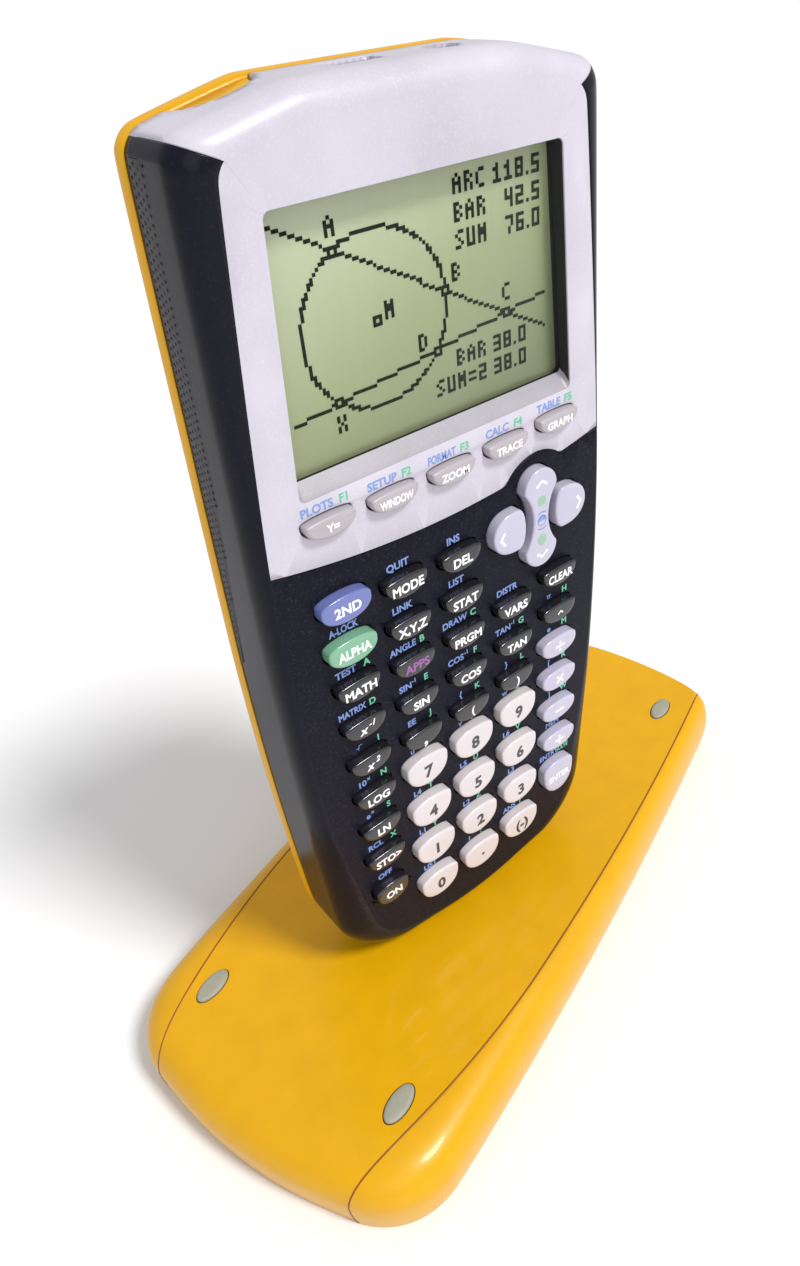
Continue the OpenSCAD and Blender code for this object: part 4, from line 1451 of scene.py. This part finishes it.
def seam_path(rings):
    """The right seam in the case frame: across the plane, then down over both ends."""
    ends = {-1: [], 1: []}
    for ring in rings:
        gap = ring[:, 0] - seam_x(ring[:, 1])
        turn = np.roll(ring, -1, 0)
        next_gap = np.roll(gap, -1)
        for end in (-1, 1):
            at = np.flatnonzero((gap * next_gap < 0) & (ring[:, 1] * end > 66) & (ring[:, 0] > 0))
            if len(at):
                i = at[np.argmax(ring[at, 1] * end)]
                t = gap[i] / (gap[i] - next_gap[i])
                ends[end].append(ring[i] * (1 - t) + turn[i] * t)
    near, far = np.array(ends[-1]), np.array(ends[1])
    near = near[near[:, 1] <= near[0, 1] + 0.01]
    far = far[far[:, 1] >= far[0, 1] - 0.01]
    vs = np.linspace(near[0, 1] + 0.8, far[0, 1] - 0.8, 90)
    top = rings[0][0, 2]
    level = np.interp(vs, [vs[0], vs[0] + 3, vs[-1] - 3, vs[-1]], [near[0, 2], top, top, far[0, 2]])
    flat = np.stack([seam_x(vs), vs, level], 1)
    return np.concatenate([near[::-1], flat, far])


def prism(ring, low, high):
    """A closed block between two heights."""
    return loft([raised(ring, low), raised(ring, high)], cap_first=True, cap_last=True)


def build_case():
    """The yellow slide case: one closed shell with two seams drawn as darker orange lines of painted groove
    shade, foot recesses whose walls are painted shade, and four domed feet.
    """
    outer, inner = case_rings(0.0), case_rings(CASE_WALL)
    points, faces = loft(outer + inner[::-1], cap_first=True, cap_last=True)
    placed = case_points(points)
    shell = make("slide_case_shell", placed, [f[::-1] for f in faces], "slide_case", "slide_case",
                 [yellow_gloss, seam_orange])
    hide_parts("slide_case")
    path = seam_path(case_rings(SEAM_D))
    # Each seam is a thin darker orange tube: painted shade standing in for the shade in its groove.
    seams = [tube(path * [side, 1, 1], SEAM_W / 2) for side in (-1, 1)]
    seam_points, seam_faces = merged(seams)
    make("case_seams", case_points(seam_points), seam_faces, "slide_case", "slide_case", [seam_orange])
    cuts = []
    for x, y in FOOT_PLACES:
        ring, _ = oval(x, y, FOOT_W / 2 + 0.25, FOOT_L / 2 + 0.25)
        cut_points, cut_faces = prism(ring, CASE_H - 0.8, CASE_H + 2)
        cuts.append((case_points(cut_points), cut_faces))
    # The recess walls round the feet take the darker orange: painted shade.
    carved(shell, cuts, [yellow_gloss, seam_orange])
    for polygon in shell.data.polygons:
        if polygon.normal.z > 0.9999 or polygon.material_index == 1:
            polygon.use_smooth = False
    parts = []
    for x, y in FOOT_PLACES:
        rings = []
        for grow, z in ((0, -0.8), (0, 0.25), (-0.12, 0.5), (-0.4, 0.65), (-1.0, 0.75)):
            ring, _ = oval(x, y, FOOT_W / 2 + grow, FOOT_L / 2 + grow)
            rings.append(raised(ring, CASE_H + z))
        parts.append(loft(rings, cap_first=True, cap_last=True))
    points, faces = merged(parts)
    feet = make("case_feet_domes", case_points(points), faces, "slide_case", "case_feet", [foot_rubber])
    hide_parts("case_feet")


# ---------- the rest of the CAD objects ----------


def dress_cad():
    """Materials of the CAD objects that show as they are."""
    dress("keypad_mat", [mat_rubber])
    dress("circuit_board", [board_material()])
    door = dress("battery_door", [yellow_gloss])
    add_modifier(door, "BEVEL", width=0.0003, segments=3, limit_method="ANGLE")
    dress("housing_screws", [steel])


# ---------- stage ----------


FLOOR_HALF = 12.0
SUN_FROM = Vector((0.25, -0.62, 0.9))
SUN_POWER = 2.5
SUN_SPREAD = 14
FILL_AT = Vector((-0.5, -0.8, 0.6))
FILL_AIM = Vector((0, 0, 0.09))
FILL_SIZE = 0.7
FILL_POWER = 1.2
SKY_LIGHT = 0.6
CAMERA_FROM = Vector((-95.483, -121.124, 206.289))
CAMERA_AIM = Vector((-1.867, 0, 88.614))
CAMERA_ROLL = -4.535
CAMERA_LENS = 26.48
CAMERA_SHIFT = (-0.0429, -0.00145)


def lamp_object(data, facing):
    """Puts a light in the scene, turned to face its way."""
    lamp = bpy.data.objects.new(data.name, data)
    lamp.rotation_euler = facing.to_euler()
    bpy.context.scene.collection.objects.link(lamp)
    return lamp


def build_stage():
    """A pale floor, a soft key light from the right and front, a fill and a pale surround."""
    corners = [(x * FLOOR_HALF, y * FLOOR_HALF, 0) for x, y in ((-1, -1), (1, -1), (1, 1), (-1, 1))]
    mesh = bpy.data.meshes.new("floor")
    mesh.from_pydata(corners, [], [(0, 1, 2, 3)])
    floor_look = Nodes("floor_paper", (0.86, 0.86, 0.87), 0.7)
    floor_look.rough(floor_look.span(floor_look.noise(40, 2), 0.62, 0.8))
    mesh.materials.append(floor_look.material)
    floor = bpy.data.objects.new("floor", mesh)
    bpy.context.scene.collection.objects.link(floor)
    world = bpy.data.worlds.new("studio")
    world.use_nodes = True
    nodes, links = world.node_tree.nodes, world.node_tree.links
    nodes["Background"].inputs["Color"].default_value = (0.97, 0.98, 1.0, 1)
    seen = nodes.new("ShaderNodeLightPath")
    strength = nodes.new("ShaderNodeMapRange")
    strength.inputs["To Min"].default_value = SKY_LIGHT
    strength.inputs["To Max"].default_value = 1.0
    links.new(seen.outputs["Is Camera Ray"], strength.inputs["Value"])
    links.new(strength.outputs["Result"], nodes["Background"].inputs["Strength"])
    bpy.context.scene.world = world
    sun = bpy.data.lights.new("key_light", "SUN")
    sun.energy = SUN_POWER
    sun.angle = math.radians(SUN_SPREAD)
    sun.color = (1.0, 0.985, 0.96)
    lamp_object(sun, SUN_FROM.to_track_quat("Z", "Y"))
    fill = bpy.data.lights.new("fill_light", "AREA")
    fill.shape = "DISK"
    fill.size = FILL_SIZE
    fill.energy = FILL_POWER
    lamp_object(fill, (FILL_AIM - FILL_AT).to_track_quat("-Z", "Y")).location = FILL_AT


def build_camera():
    """The photograph's viewpoint: above, to the left and in front, a little rolled."""
    place = FACE_ORIGIN + CAMERA_FROM * MM
    aim = FACE_ORIGIN + CAMERA_AIM * MM
    data = bpy.data.cameras.new("photo_camera")
    data.sensor_width = 36
    data.lens = CAMERA_LENS
    data.shift_x, data.shift_y = CAMERA_SHIFT
    data.clip_start = 0.01
    camera = bpy.data.objects.new("photo_camera", data)
    camera.location = place
    roll = Quaternion((0, 0, 1), math.radians(CAMERA_ROLL))
    camera.rotation_mode = "QUATERNION"
    camera.rotation_quaternion = (aim - place).to_track_quat("-Z", "Y") @ roll
    bpy.context.scene.collection.objects.link(camera)
    bpy.context.scene.camera = camera


# ---------- assembly ----------

build_front()
build_keys()
build_cursor_pad()
build_face_print()
build_groove_shade_and_lip()
build_rear()
build_grips()
build_display()
build_case()
dress_cad()
build_stage()
build_camera()

bpy.context.scene.view_settings.view_transform = "Standard"
